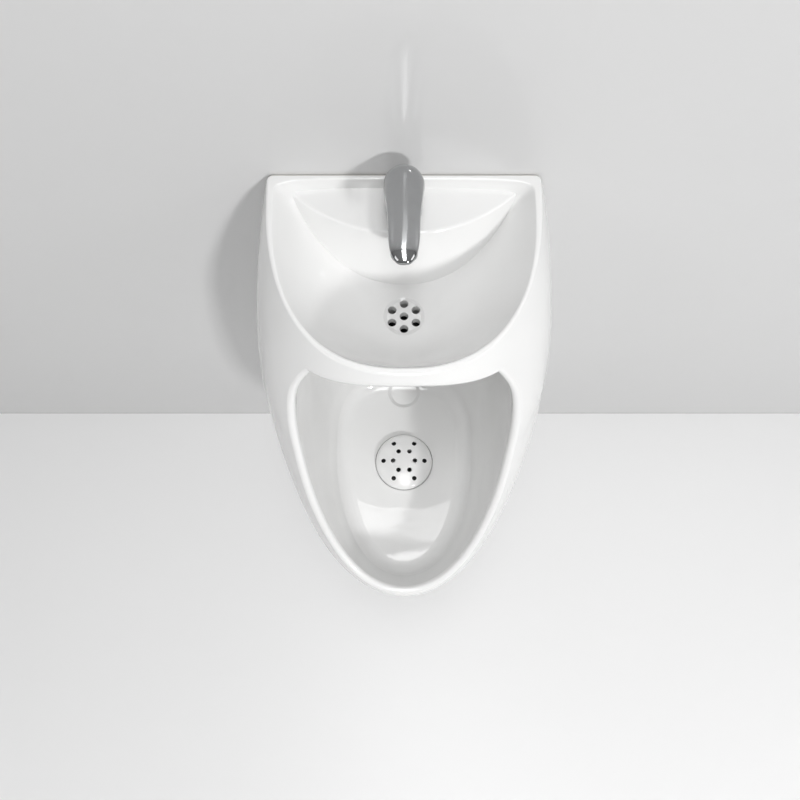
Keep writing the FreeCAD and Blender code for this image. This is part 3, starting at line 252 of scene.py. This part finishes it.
# %% [markdown]
# ## Water marks
#
# A fitting that is splashed all day carries dried drops and the streaks of a cloth. Round spots of a
# Voronoi texture are kept only where a slow noise is high, which leaves them in groups, and a noise that
# is drawn out upright gives the streaks. The group puts out one mask, and each finish decides what it does.

# %% Water marks
DROP_FADE = (0.05, 0.22)
DROPS_WHERE = (0.55, 0.66)
STREAKS_WHERE = (0.5, 0.8)
STREAK_SHARE = 0.7
STREAK_SCALES = (1.0, 1.0, 0.18)


def water_marks_group():
    group, into, out = new_group("water marks", {"Drop Scale": 90.0, "Streak Scale": 14.0}, ["Mask"])
    place = new_node(group, "TexCoord")
    drops = new_node(group, "TexVoronoi")
    sparse = new_node(group, "TexNoise", Detail=1.0)
    upright = new_node(group, "Mapping", Scale=STREAK_SCALES)
    streaks = new_node(group, "TexNoise", Detail=4.0, Roughness=0.6)
    for node in (drops, sparse, upright):
        group.links.new(place.outputs["Object"], node.inputs["Vector"])
    group.links.new(upright.outputs["Vector"], streaks.inputs["Vector"])
    group.links.new(into.outputs["Drop Scale"], drops.inputs["Scale"])
    for noise in (sparse, streaks):
        group.links.new(into.outputs["Streak Scale"], noise.inputs["Scale"])
    spots = spread(group, drops.outputs["Distance"], DROP_FADE, (1.0, 0.0))
    here = spread(group, sparse.outputs["Fac"], DROPS_WHERE)
    wiped = spread(group, streaks.outputs["Fac"], STREAKS_WHERE, (0.0, STREAK_SHARE))
    mask = combine(group, "MAXIMUM", combine(group, "MULTIPLY", spots, here), wiped)
    group.links.new(mask, out.inputs["Mask"])
    return group


water_marks = water_marks_group()
print("effect", water_marks.name, "of", len(water_marks.nodes), "nodes")

# %% [markdown]
# ## Turned lines
#
# A lathe leaves fine rings round the axis that a piece turned on, and a brush leaves much the same. A
# wave texture would repeat too evenly. A noise that changes fast along Z and hardly at all across it
# gives rings of uneven strength, as a real tool does.

# %% Turned lines
def turned_lines_group():
    group, into, out = new_group("turned lines", {"Line Scale": 900.0, "Stretch": 0.04}, ["Height", "Tone"])
    place = new_node(group, "TexCoord")
    stretch = new_node(group, "CombineXYZ", Z=1.0)
    along = new_node(group, "VectorMath")
    along.operation = "MULTIPLY"
    lines = new_node(group, "TexNoise", Detail=2.0, Roughness=0.6)
    for axis in ("X", "Y"):
        group.links.new(into.outputs["Stretch"], stretch.inputs[axis])
    group.links.new(place.outputs["Object"], along.inputs[0])
    group.links.new(stretch.outputs["Vector"], along.inputs[1])
    group.links.new(along.outputs["Vector"], lines.inputs["Vector"])
    group.links.new(into.outputs["Line Scale"], lines.inputs["Scale"])
    for result in ("Height", "Tone"):
        group.links.new(lines.outputs["Fac"], out.inputs[result])
    return group


turned_lines = turned_lines_group()
print("effect", turned_lines.name, "of", len(turned_lines.nodes), "nodes")

# %% [markdown]
# ## Moulded and ground skins
#
# The strainer and the trap are white plastic, the waste and the spreader black, the cartridge grey. The
# seals are rubber, and the valve's discs are ground ceramic. Each could be one flat colour, but then no
# reflection would look handled, so each has two tones, a span of roughness and a rippled bump. The
# strainer lies in the water's way, so water marks set its roughness.

# %% Moulded and ground skins
PEEL_PER_SWELL = 18
SKIN_SPAN = (0.35, 0.65)
WHOLE_SPAN = (0.0, 1.0)


def skin_finish(name, dark, light, gloss, swell, peel_share=0.3, depth=0.0002, marks=False):
    """A cast, moulded or glazed skin; gloss is its least and its most roughness."""
    material, tree, shader = new_finish(name)
    ripple = place_group(tree, soft_ripple, Swell_Scale=swell, Peel_Scale=PEEL_PER_SWELL * swell,
                         Peel_Share=peel_share)
    wander = ripple.outputs["Tone"]
    rough = place_group(tree, water_marks).outputs["Mask"] if marks else wander
    tree.links.new(tone(tree, wander, SKIN_SPAN, (dark, light)), shader.inputs["Base Color"])
    tree.links.new(spread(tree, rough, WHOLE_SPAN, gloss), shader.inputs["Roughness"])
    bump(tree, shader, ripple.outputs["Height"], depth)
    return material


finishes = {
    "strainer": skin_finish("strainer white", (0.78, 0.78, 0.775), (0.82, 0.82, 0.815), (0.10, 0.2),
                            swell=30.0, marks=True),
    "plastic_white": skin_finish("moulded white", (0.72, 0.72, 0.71), (0.78, 0.78, 0.77), (0.28, 0.42),
                                 swell=40.0),
    "plastic_grey": skin_finish("moulded grey", (0.22, 0.23, 0.24), (0.28, 0.29, 0.30), (0.35, 0.5),
                                swell=60.0),
    "plastic_black": skin_finish("moulded black", (0.010, 0.010, 0.011), (0.018, 0.018, 0.019), (0.3, 0.45),
                                 swell=60.0),
    "rubber_black": skin_finish("black rubber", (0.012, 0.012, 0.012), (0.026, 0.026, 0.026), (0.55, 0.75),
                                swell=90.0, peel_share=0.6),
    "disc": skin_finish("ground disc", (0.70, 0.68, 0.63), (0.76, 0.74, 0.70), (0.2, 0.35), swell=80.0),
}
print("skins for the slots", list(finishes))

# %% [markdown]
# ## Plain metals
#
# The clips, the stud and its nut are plain steel, the cartridge's ring nut is turned brass, and the inlet
# tails are copper tube. The turned lines change tone, roughness and height together, because a ring that
# stands up also catches the light. Drawn tube has no rings: its noise is coarse and isn't stretched.

# %% Plain metals
METAL_SPAN = (0.3, 0.7)
METAL_BUMP = 0.00004


def metal_finish(name, dark, light, gloss, line_scale, stretch):
    material, tree, shader = new_finish(name)
    shader.inputs["Metallic"].default_value = 1.0
    lines = place_group(tree, turned_lines, Line_Scale=line_scale, Stretch=stretch)
    wander = lines.outputs["Tone"]
    tree.links.new(tone(tree, wander, METAL_SPAN, (dark, light)), shader.inputs["Base Color"])
    tree.links.new(spread(tree, wander, METAL_SPAN, gloss), shader.inputs["Roughness"])
    bump(tree, shader, lines.outputs["Height"], METAL_BUMP)
    return material


finishes["steel"] = metal_finish("plain steel", (0.42, 0.42, 0.43), (0.58, 0.58, 0.59), (0.25, 0.42),
                                 line_scale=700.0, stretch=0.05)
finishes["brass"] = metal_finish("turned brass", (0.52, 0.37, 0.14), (0.66, 0.48, 0.2), (0.22, 0.36),
                                 line_scale=900.0, stretch=0.05)
finishes["copper"] = metal_finish("copper tube", (0.55, 0.26, 0.15), (0.68, 0.35, 0.21), (0.2, 0.38),
                                  line_scale=60.0, stretch=1.0)
print("metals", [finishes[slot].name for slot in ("steel", "brass", "copper")])

# %% [markdown]
# ## Glaze
#
# The body's skin is a nearly white glass, so glossy that only a slow swell and a few dried marks show in
# it. Round the basin's drain it sinks to a shallow dish, which a bump gives from the distance to the
# middle of the sleeve below. The glaze is wiped off the face that meets the wall before firing, so that
# face is bare clay. A second material there would do, but a mask along Y leaves the CAD mesh as it is.

# %% Glaze
DISH_EDGE = (0.0215, 0.0265)
DISH_DEPTH = 0.003
GLAZE_SHINE = 0.55
CLAY_SPAN = (-0.0025, -0.0015)
CLAY_COLOUR = (0.66, 0.63, 0.58, 1)
CLAY_ROUGHNESS = 0.85


def glaze_finish(drain):
    material = skin_finish("white glaze", (0.80, 0.80, 0.795), (0.83, 0.83, 0.825), (0.035, 0.09),
                           swell=7.0, peel_share=0.05, depth=0.0003, marks=True)
    tree = material.node_tree
    shader = tree.nodes["Principled BSDF"]
    shader.inputs["Specular IOR Level"].default_value = GLAZE_SHINE
    place = new_node(tree, "TexCoord")
    level = new_node(tree, "Mapping", Location=(-drain.x, -drain.y, 0), Scale=(1, 1, 0))
    away = new_node(tree, "VectorMath")
    away.operation = "LENGTH"
    axes = new_node(tree, "SeparateXYZ")
    tree.links.new(place.outputs["Object"], level.inputs["Vector"])
    tree.links.new(place.outputs["Object"], axes.inputs["Vector"])
    tree.links.new(level.outputs["Vector"], away.inputs[0])
    bump(tree, shader, spread(tree, away.outputs["Value"], DISH_EDGE), DISH_DEPTH)
    bare = spread(tree, axes.outputs["Y"], CLAY_SPAN)
    blend_in(tree, shader.inputs["Base Color"], bare, CLAY_COLOUR)
    blend_in(tree, shader.inputs["Roughness"], bare, CLAY_ROUGHNESS)
    return material


low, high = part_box("drain_sleeve")
finishes["glaze"] = glaze_finish((low + high) / 2)
print("glaze with a dish of", DISH_EDGE[1], "m round", [round(c, 3) for c in (low + high).xy / 2])

# %% [markdown]
# ## Chrome
#
# The tap is brass under a mirror of chrome. In a pale studio such a mirror is as grey as the dark end of
# the room, so its colour is a middle grey and the lamps draw the bright lines. Drops and streaks dull
# it here and there, and a very low ripple keeps those lines from looking ruled.

# %% Chrome
CHROME_CLEAN = (0.45, 0.455, 0.46)
CHROME_MARKED = (0.40, 0.405, 0.41)
CHROME_GLOSS = (0.045, 0.17)
CHROME_BUMP = 0.00008


def chrome_finish():
    material, tree, shader = new_finish("bright chrome")
    shader.inputs["Metallic"].default_value = 1.0
    marks = place_group(tree, water_marks, Drop_Scale=220.0, Streak_Scale=45.0).outputs["Mask"]
    ripple = place_group(tree, soft_ripple, Swell_Scale=25.0, Peel_Scale=400.0, Peel_Share=0.1)
    tree.links.new(tone(tree, marks, WHOLE_SPAN, (CHROME_CLEAN, CHROME_MARKED)), shader.inputs["Base Color"])
    tree.links.new(spread(tree, marks, WHOLE_SPAN, CHROME_GLOSS), shader.inputs["Roughness"])
    bump(tree, shader, ripple.outputs["Height"], CHROME_BUMP)
    return material


finishes["chrome"] = chrome_finish()
print("chrome with a roughness of", CHROME_GLOSS)

# %% [markdown]
# ## Finishes on the pieces
#
# The record says which material slot each piece belongs to, so no list of pieces is needed here: every
# CAD node wears the finish of its slot, also the ones that get a new shape further down.

# %% Finishes on the pieces
slot_of = {entry["node"]: entry["material_slot"] for entry in record["subparts"]}


def wear(piece, finish):
    piece.data.materials.clear()
    piece.data.materials.append(finish)


for name, solid in nodes.items():
    wear(solid, finishes[slot_of[name]])
print(len(finishes), "finishes on", len(nodes), "nodes")

# %% [markdown]
# ## Finishes on the stage
#
# The floor is a pale screed. The wall is painted and a little glossy, which draws the faint streak over
# the tap. It is a one-sided sheet: from behind, the Backfacing output makes it clear, so that the
# fittings at the back can be looked at too. Hiding the wall for those views would be one more switch.

# %% Finishes on the stage
def stage_finish(name, grey, roughness):
    material, _, shader = new_finish(name)
    shader.inputs["Base Color"].default_value = (grey, grey, grey, 1)
    shader.inputs["Roughness"].default_value = roughness
    return material


def clear_from_behind(material):
    tree = material.node_tree
    side = new_node(tree, "NewGeometry")
    clear = new_node(tree, "BsdfTransparent")
    choose = new_node(tree, "MixShader")
    tree.links.new(side.outputs["Backfacing"], choose.inputs["Fac"])
    tree.links.new(tree.nodes["Principled BSDF"].outputs["BSDF"], choose.inputs[1])
    tree.links.new(clear.outputs["BSDF"], choose.inputs[2])
    tree.links.new(choose.outputs["Shader"], tree.nodes["Material Output"].inputs["Surface"])
    return material


wear(floor, stage_finish("pale floor", grey=0.86, roughness=0.4))
wear(wall, clear_from_behind(stage_finish("pale wall", grey=0.66, roughness=0.13)))
print("stage", [plane.active_material.name for plane in (floor, wall)])

# %% [markdown]
# ## Lamps
#
# A soft lamp at the right in front draws the body's shadow on the wall at the left. A long lamp over the
# basin gives the rim and the lever their thin bright lines, two wide fills lift the sides, and a lamp
# behind the wall shows the fittings. Lamps come down, not colours up, so that no white loses its form.

# %% Lamps
LAMPS = {
    "key lamp": dict(place=(1.3, -2.9, 1.6), aim=(0, -0.2, -0.1), size=(0.3, 0.3), watts=51),
    "top lamp": dict(place=(0.1, -1.1, 2.6), aim=(0, -0.4, 0), size=(0.7, 2.2), watts=33),
    "left fill": dict(place=(-2.2, -1.6, 1.6), aim=(0, -0.2, -0.1), size=(1.2, 1.2), watts=7),
    "right fill": dict(place=(2.4, -1.2, 1.2), aim=(0, -0.2, -0.1), size=(1.2, 1.2), watts=8),
    "back lamp": dict(place=(0.5, 1.7, -0.05), aim=(0, 0, -0.1), size=(0.8, 0.8), watts=10),
}


def lamp(name, place, aim, size, watts):
    bpy.ops.object.light_add(type="AREA", location=place)
    light = bpy.context.object
    light.name = name
    light.rotation_euler = (Vector(aim) - Vector(place)).to_track_quat("-Z", "Y").to_euler()
    light.data.shape = "RECTANGLE"
    light.data.size, light.data.size_y = size
    light.data.energy = watts


for name, settings in LAMPS.items():
    lamp(name, **settings)
print({name: settings["watts"] for name, settings in LAMPS.items()}, "watts")

# %% [markdown]
# ## Sky
#
# Light from all round fills the shadows, as a studio's white walls do. One even colour would leave the
# curved glaze flat, so the sky is brighter overhead than at the level of the eye, and every curve shows
# a slow change of tone.

# %% Sky
SKY_LIGHT = (0.18, 0.33)

world = bpy.data.worlds.new("studio")
world.use_nodes = True
sky = world.node_tree
background = set_inputs(sky.nodes["Background"], {"Color": (1, 1, 1, 1)})
way = new_node(sky, "TexCoord")
height = new_node(sky, "SeparateXYZ")
sky.links.new(way.outputs["Generated"], height.inputs["Vector"])
sky.links.new(spread(sky, height.outputs["Z"], WHOLE_SPAN, SKY_LIGHT), background.inputs["Strength"])
scene.world = world
print("sky from", SKY_LIGHT[0], "at the horizon to", SKY_LIGHT[1], "overhead")

# %% [markdown]
# ## Working on one piece
#
# An operator acts on everything that is selected, so each helper first makes its piece the only selected
# one. Places go into the mesh at once, and a modifier is applied as soon as it is added: a finished piece
# then sits at the origin, unturned and unscaled, like the CAD nodes.

# %% Working on one piece
def alone(piece):
    """Makes one object the only selected and the active one."""
    bpy.ops.object.select_all(action="DESELECT")
    piece.select_set(True)
    bpy.context.view_layer.objects.active = piece


def edit(piece):
    """Opens edit mode with the whole mesh selected."""
    alone(piece)
    bpy.ops.object.mode_set(mode="EDIT")
    bpy.ops.mesh.select_all(action="SELECT")


def done(piece):
    bpy.ops.object.mode_set(mode="OBJECT")
    return piece


def set_place(piece):
    alone(piece)
    bpy.ops.object.transform_apply(location=True, rotation=True, scale=True)
    return piece


def apply_modifier(piece, kind, **settings):
    modifier = piece.modifiers.new(kind.lower(), kind)
    for key, value in settings.items():
        setattr(modifier, key, value)
    alone(piece)
    bpy.ops.object.modifier_apply(modifier=modifier.name)


def cut_away(piece, tool):
    apply_modifier(piece, "BOOLEAN", object=tool, operation="DIFFERENCE", solver="EXACT")
    bpy.data.objects.remove(tool)


def roll_edges(piece, width, segments, angle, **settings):
    """A bevel on every edge that is sharper than the angle."""
    apply_modifier(piece, "BEVEL", width=width, segments=segments, limit_method="ANGLE", angle_limit=angle,
                   **settings)


def join(pieces):
    alone(pieces[0])
    for piece in pieces[1:]:
        piece.select_set(True)
    bpy.ops.object.join()
    return pieces[0]


print("modelling helpers ready")

# %% [markdown]
# ## How a new piece joins the model
#
# A new piece stands for one CAD node: it takes that node's finish, moves with the same body and hides
# the plain solid, which stays for collision. One helper does all of it, so no piece can forget a step.

# %% How a new piece joins the model
SHARP_ANGLE = radians(35)
body_of = {node: body for body, members in record["behaviour"]["bodies"].items() for node in members}


def settle(piece, name, node):
    """The finished piece wears the node's finish, rides on its body and stands for it."""
    alone(piece)
    bpy.ops.object.shade_smooth_by_angle(angle=SHARP_ANGLE)
    piece.name = name
    wear(piece, finishes[slot_of[node]])
    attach(piece, body_of[node])
    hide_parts(node)
    print(name, "for", node, len(piece.data.polygons), "faces")


# %% [markdown]
# ## Tap lever: its rings
#
# The lever is one polished casting: a round cap over the cartridge that flows out into a crowned tongue
# with a falling nose. A ball joined to a bar would show a crease where they meet, so the lever is drawn
# out ring by ring, as a modeller pulls a spout. This cell gathers the rings, from the back of the cap,
# which is a ball, to the end of the nose.

# %% Tap lever: its rings
PIVOT = Vector(next(joint for joint in frame["joints"] if joint["name"] == "lever_lift")["pos_m"])
CAP_RADIUS = 0.024
# How far back each ring of the cap lies, as shares of its radius.
CAP_BACK = (0.985, 0.93, 0.82, 0.66, 0.44, 0.2)
# The tongue's rings: distance before the pivot, height of the crown over it, half width, half height.
TONGUE_RINGS = (
    (0.0000, 0.0240, 0.0240, 0.0240),
    (0.0090, 0.0245, 0.0235, 0.0202),
    (0.0200, 0.0254, 0.0221, 0.0146),
    (0.0310, 0.0265, 0.0207, 0.0112),
    (0.0430, 0.0278, 0.0193, 0.0096),
    (0.0550, 0.0291, 0.0183, 0.0089),
    (0.0680, 0.0304, 0.0178, 0.0085),
    (0.0790, 0.0310, 0.0174, 0.0081),
    (0.0880, 0.0307, 0.0167, 0.0077),
    (0.0950, 0.0298, 0.0157, 0.0071),
    (0.1010, 0.0284, 0.0142, 0.0063),
    (0.1060, 0.0266, 0.0119, 0.0053),
    (0.1098, 0.0245, 0.0090, 0.0041),
    (0.1122, 0.0225, 0.0056, 0.0026),
)


def lever_stations():
    """(distance before the pivot, middle height, half width, half height) of each ring, from the back."""
    for share in CAP_BACK:
        size = CAP_RADIUS * (1 - share ** 2) ** 0.5
        yield -CAP_RADIUS * share, 0.0, size, size
    for before, crown, half_width, half_height in TONGUE_RINGS:
        yield before, crown - half_height, half_width, half_height


stations = list(lever_stations())
print(len(stations), "rings over", round(stations[-1][0] - stations[0][0], 4), "m")

# %% [markdown]
# ## Tap lever: drawn out and hollowed
#
# A filled circle is extruded forward and resized at each station, and a subdivision surface smooths the
# steps away. The skin is then cut flat under the cap and hollowed with a ball, so that the cap can rock
# over the dome of the tap without touching it.

# %% Tap lever: drawn out and hollowed
RING_SIDES = 40
SMOOTHING = 2
CAP_EDGE_ABOVE_PIVOT = 0.002
CAVITY_RADIUS = 0.0216
CAVITY_SIDES = 48
CAVITY_RINGS = 32


def drawn_out(stations):
    """A closed skin through rings: one circle, extruded and resized from station to station."""
    (before, middle, half_width, half_height), *others = stations
    centre = PIVOT + Vector((0, -before, middle))
    bpy.ops.mesh.primitive_circle_add(vertices=RING_SIDES, radius=1, fill_type="NGON",
                                      location=centre, rotation=(radians(90), 0, 0))
    piece = set_place(bpy.context.object)
    edit(piece)
    bpy.ops.transform.resize(value=(half_width, 1, half_height), center_override=centre)
    for next_before, next_middle, next_width, next_height in others:
        step = Vector((0, before - next_before, next_middle - middle))
        bpy.ops.mesh.extrude_region_move(TRANSFORM_OT_translate={"value": step})
        centre = centre + step
        bpy.ops.transform.resize(value=(next_width / half_width, 1, next_height / half_height),
                                 center_override=centre)
        before, middle, half_width, half_height = next_before, next_middle, next_width, next_height
    bpy.ops.mesh.select_all(action="SELECT")
    bpy.ops.mesh.normals_make_consistent(inside=False)
    return done(piece)


lever = drawn_out(stations)
apply_modifier(lever, "SUBSURF", levels=SMOOTHING, render_levels=SMOOTHING)
edit(lever)
bpy.ops.mesh.bisect(plane_co=PIVOT + Vector((0, 0, CAP_EDGE_ABOVE_PIVOT)), plane_no=(0, 0, 1),
                    use_fill=True, clear_inner=True)
done(lever)
bpy.ops.mesh.primitive_uv_sphere_add(segments=CAVITY_SIDES, ring_count=CAVITY_RINGS, radius=CAVITY_RADIUS,
                                     location=PIVOT)
cut_away(lever, set_place(bpy.context.object))
settle(lever, "lever_cap_and_tongue", "tap_lever")

# %% [markdown]
# ## Eased edges
#
# No moulded, cast or turned piece has a knife edge. The CAD solids do, so each hard-edged piece that can
# be seen gets a copy with its edges rolled over: the loose CAD triangles are merged, flat areas are
# joined into single faces, and a narrow bevel follows every sharp edge. The width is the one that the
# real process leaves: half a millimetre or more on plastic, less on metal.

# %% Eased edges
MERGE_WITHIN = 1e-6
FLAT_WITHIN = radians(0.4)
EASE_SEGMENTS = 2
EASED = {
    "tap_body": 0.0004,
    "tap_dome": 0.0003,
    "aerator_shell": 0.0003,
    "trap_body": 0.0010,
    "outlet_pipe": 0.0005,
    "spreader_body": 0.0006,
    "spreader_cap": 0.0006,
    "waste_body": 0.0005,
    "waste_nut": 0.0010,
    "spreader_nut": 0.0010,
    "stud_nut": 0.0005,
    "fixing_bushes": 0.0005,
    "drain_sleeve": 0.0008,
    "tap_base_seal": 0.0005,
    "clamp_plate": 0.0004,
}


def own_copy(piece):
    """A copy with its own mesh."""
    twin = piece.copy()
    twin.data = piece.data.copy()
    scene.collection.objects.link(twin)
    return twin


def eased(node, width):
    """A copy of a CAD node with its sharp edges rolled over."""
    piece = own_copy(nodes[node])
    piece.parent = None
    piece.matrix_world = Matrix.Identity(4)
    edit(piece)
    bpy.ops.mesh.remove_doubles(threshold=MERGE_WITHIN)
    bpy.ops.mesh.dissolve_limited(angle_limit=FLAT_WITHIN)
    done(piece)
    roll_edges(piece, width, EASE_SEGMENTS, SHARP_ANGLE, miter_outer="MITER_ARC", use_clamp_overlap=True)
    return piece


for node, width in EASED.items():
    settle(eased(node, width), node + "_eased", node)

# %% [markdown]
# ## Strainer plate: its cap
#
# The plate over the waste is a moulded white cap: its edge is rolled, and its top is slightly domed so
# that nothing stays on it. A flattened ball would have the wrong edge, so the cap is raised ring by ring
# from a disc. The same helper raises a smaller one inside it, which is cut away and leaves a thin wall.

# %% Strainer plate: its cap
# The cap's rings: radius and height over its foot.
CAP_RINGS = ((0.0448, 0.0000), (0.0455, 0.0008), (0.0455, 0.0042), (0.0451, 0.0064), (0.0441, 0.0082),
             (0.0421, 0.0098), (0.0380, 0.0113), (0.0310, 0.0127), (0.0220, 0.0138), (0.0120, 0.0145),
             (0.0040, 0.0148))
CAP_SIDES = 96
CAP_WALL = 0.0025
HOLLOW_FROM = -0.001
STRAINER_LEG = 0.012


def raised(foot, rings):
    """A closed round skin: a filled circle, extruded up and resized ring by ring."""
    (radius, level), *others = rings
    bpy.ops.mesh.primitive_circle_add(vertices=CAP_SIDES, radius=radius, fill_type="NGON",
                                      location=foot + Vector((0, 0, level)))
    piece = set_place(bpy.context.object)
    edit(piece)
    for next_radius, next_level in others:
        share = next_radius / radius
        bpy.ops.mesh.extrude_region_move(TRANSFORM_OT_translate={"value": (0, 0, next_level - level)})
        bpy.ops.transform.resize(value=(share, share, 1), center_override=foot)
        radius, level = next_radius, next_level
    bpy.ops.mesh.select_all(action="SELECT")
    bpy.ops.mesh.normals_make_consistent(inside=False)
    return done(piece)


low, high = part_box("strainer_plate")
plate_foot = Vector(((low.x + high.x) / 2, (low.y + high.y) / 2, low.z + STRAINER_LEG))
hollow_rings = [(CAP_RINGS[0][0] - CAP_WALL, HOLLOW_FROM)]
hollow_rings += [(radius - CAP_WALL, level - CAP_WALL) for radius, level in CAP_RINGS if level > CAP_WALL]
plate = raised(plate_foot, CAP_RINGS)
cut_away(plate, raised(plate_foot, hollow_rings))
print("cap of", len(plate.data.polygons), "faces with a wall of", CAP_WALL, "m")

# %% [markdown]
# ## Strainer plate: its holes and legs
#
# Two rings of six holes let the water through. Their drills are joined first, so that one cut makes all
# twelve, and a bevel rolls the rims as a mould does. The legs that centre the plate in the waste come
# from the CAD plate: its copy is cut off just inside the cap and joined to it.

# %% Strainer plate: its holes and legs
HOLE_RADIUS = 0.0037
HOLE_SIDES = 28
HOLE_RINGS = (0.0175, 0.0330)
HOLES_IN_RING = 6
DRILL_LENGTH = 0.06
RIM_EASE = 0.0005
RIM_ANGLE = radians(50)
LEG_EASE = 0.0003
LEG_OVERLAP = 0.0008


def drills(foot):
    """Two rings of six drills through the plate."""
    tools = []
    for pitch in HOLE_RINGS:
        for i in range(HOLES_IN_RING):
            turn = 2 * pi * i / HOLES_IN_RING
            spot = foot + Vector((pitch * cos(turn), pitch * sin(turn), 0))
            bpy.ops.mesh.primitive_cylinder_add(vertices=HOLE_SIDES, radius=HOLE_RADIUS, depth=DRILL_LENGTH,
                                                location=spot)
            tools.append(set_place(bpy.context.object))
    return join(tools)


cut_away(plate, drills(plate_foot))
roll_edges(plate, RIM_EASE, EASE_SEGMENTS, RIM_ANGLE)
legs = eased("strainer_plate", LEG_EASE)
edit(legs)
bpy.ops.mesh.bisect(plane_co=plate_foot + Vector((0, 0, LEG_OVERLAP)), plane_no=(0, 0, 1),
                    use_fill=True, clear_outer=True)
done(legs)
settle(join([plate, legs]), "strainer_cap", "strainer_plate")

# %% [markdown]
# ## Hand-tightened nuts and the trap's cup
#
# The trap's nuts and cup are tightened by hand, so the mouldings carry grip ribs. A rib is a thin bar
# with rolled ends. It is modelled once, copied round the piece at an even pitch and joined to a copy of
# the CAD moulding with eased edges, so that the whole is one piece, as it comes out of the mould.

# %% Hand-tightened nuts and the trap's cup
UPRIGHT = Matrix.Identity(4)
ALONG_PIPE = Matrix.Rotation(radians(-90), 4, "X")
RIB_SIDES = 10
RIB_EASE_SHARE = 0.6
RIB_ANGLE = radians(60)
MOULDING_EASE = 0.0008
# The skirt is the length at the far end that carries the ribs; without one they run all along the piece.
RIBBED = {
    "trap_inlet_nut": dict(turn=UPRIGHT, count=28, radius=0.0013, margin=0.004),
    "outlet_nut": dict(turn=ALONG_PIPE, count=22, radius=0.0012, margin=0.003),
    "trap_cup": dict(turn=UPRIGHT, count=36, radius=0.0013, margin=0.003, skirt=0.018),
}


def copies_round(first, count, place):
    """The first piece and its copies, turned evenly round the local Z axis."""
    pieces = [first] + [own_copy(first) for _ in range(count - 1)]
    for i, piece in enumerate(pieces):
        piece.matrix_world = place @ Matrix.Rotation(2 * pi * i / count, 4, "Z")
        set_place(piece)
    return pieces


def ribbed(node, turn, count, radius, margin, skirt=None):
    """The eased moulding with ribs round its widest rim."""
    low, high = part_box(node)
    along = 2 if turn is UPRIGHT else 1
    length = (high - low)[along]
    start, end = length / 2 - (skirt or length) + margin, length / 2 - margin
    bpy.ops.mesh.primitive_cylinder_add(vertices=RIB_SIDES, radius=radius, depth=end - start,
                                        location=((high - low).x / 2, 0, (start + end) / 2))
    rib = set_place(bpy.context.object)
    roll_edges(rib, RIB_EASE_SHARE * radius, EASE_SEGMENTS, RIB_ANGLE)
    bars = copies_round(rib, count, Matrix.Translation((low + high) / 2) @ turn)
    return join([eased(node, MOULDING_EASE)] + bars)


for node, settings in RIBBED.items():
    settle(ribbed(node, **settings), node + "_ribbed", node)

# %% [markdown]
# ## Sleeve clips
#
# Each end of the rubber sleeve is held by a worm-drive clip: a thin steel band, a pressed housing and a
# screw whose thread pulls the band tight. The band is the CAD solid with eased edges. The housing is a
# block with rolled edges, and the screw a bar with a slotted head that stands out of it along the band.

# %% Sleeve clips
BAND_EASE = 0.0003
HOUSING_SIZE = (0.007, 0.013)
HOUSING_OVER_BAND = 0.0015
HOUSING_SINK = 0.001
HOUSING_EASE = 0.0015
HOUSING_SEGMENTS = 3
HOUSING_ANGLE = radians(60)
SHANK = (0.0028, 0.0195)
HEAD = (0.0040, 0.0045)
HEAD_EASE = 0.0003
HEAD_ANGLE = radians(40)
SCREW_SIDES = 24
SLOT_WIDTH = 0.0012
SLOT_DEPTH = 0.0022
FACING_FRONT = (radians(90), 0, 0)


def block(centre, size):
    bpy.ops.mesh.primitive_cube_add(size=1, location=centre)
    piece = bpy.context.object
    piece.scale = size
    return set_place(piece)


def rod(centre, radius, length):
    """A round bar from front to back."""
    bpy.ops.mesh.primitive_cylinder_add(vertices=SCREW_SIDES, radius=radius, depth=length, location=centre,
                                        rotation=FACING_FRONT)
    return set_place(bpy.context.object)


def clip_housing(axis, height):
    """A pressed housing that saddles the band."""
    depth, width = HOUSING_SIZE
    housing = block(axis - Vector((HOUSING_SINK, 0, 0)), (depth, width, height + HOUSING_OVER_BAND))
    roll_edges(housing, HOUSING_EASE, HOUSING_SEGMENTS, HOUSING_ANGLE)
    return housing


def clip_screw(axis):
    """The screw through the housing, with a slot sunk across its head."""
    head_radius, head_length = HEAD
    head_back = axis - Vector((0, SHANK[1] / 2, 0))
    head = rod(head_back - Vector((0, head_length / 2, 0)), head_radius, head_length)
    head_front = head_back - Vector((0, head_length, 0))
    cut_away(head, block(head_front, (3 * head_radius, 2 * SLOT_DEPTH, SLOT_WIDTH)))
    roll_edges(head, HEAD_EASE, EASE_SEGMENTS, HEAD_ANGLE)
    return [rod(axis, *SHANK), head]


for node in ("sleeve_clip_upper", "sleeve_clip_lower"):
    low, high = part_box(node)
    screw_axis = (low + high) / 2 + Vector(((high - low).x / 2 + HOUSING_SIZE[0] / 2, 0, 0))
    clip = [eased(node, BAND_EASE), clip_housing(screw_axis, (high - low).z)] + clip_screw(screw_axis)
    settle(join(clip), node + "_worm_drive", node)
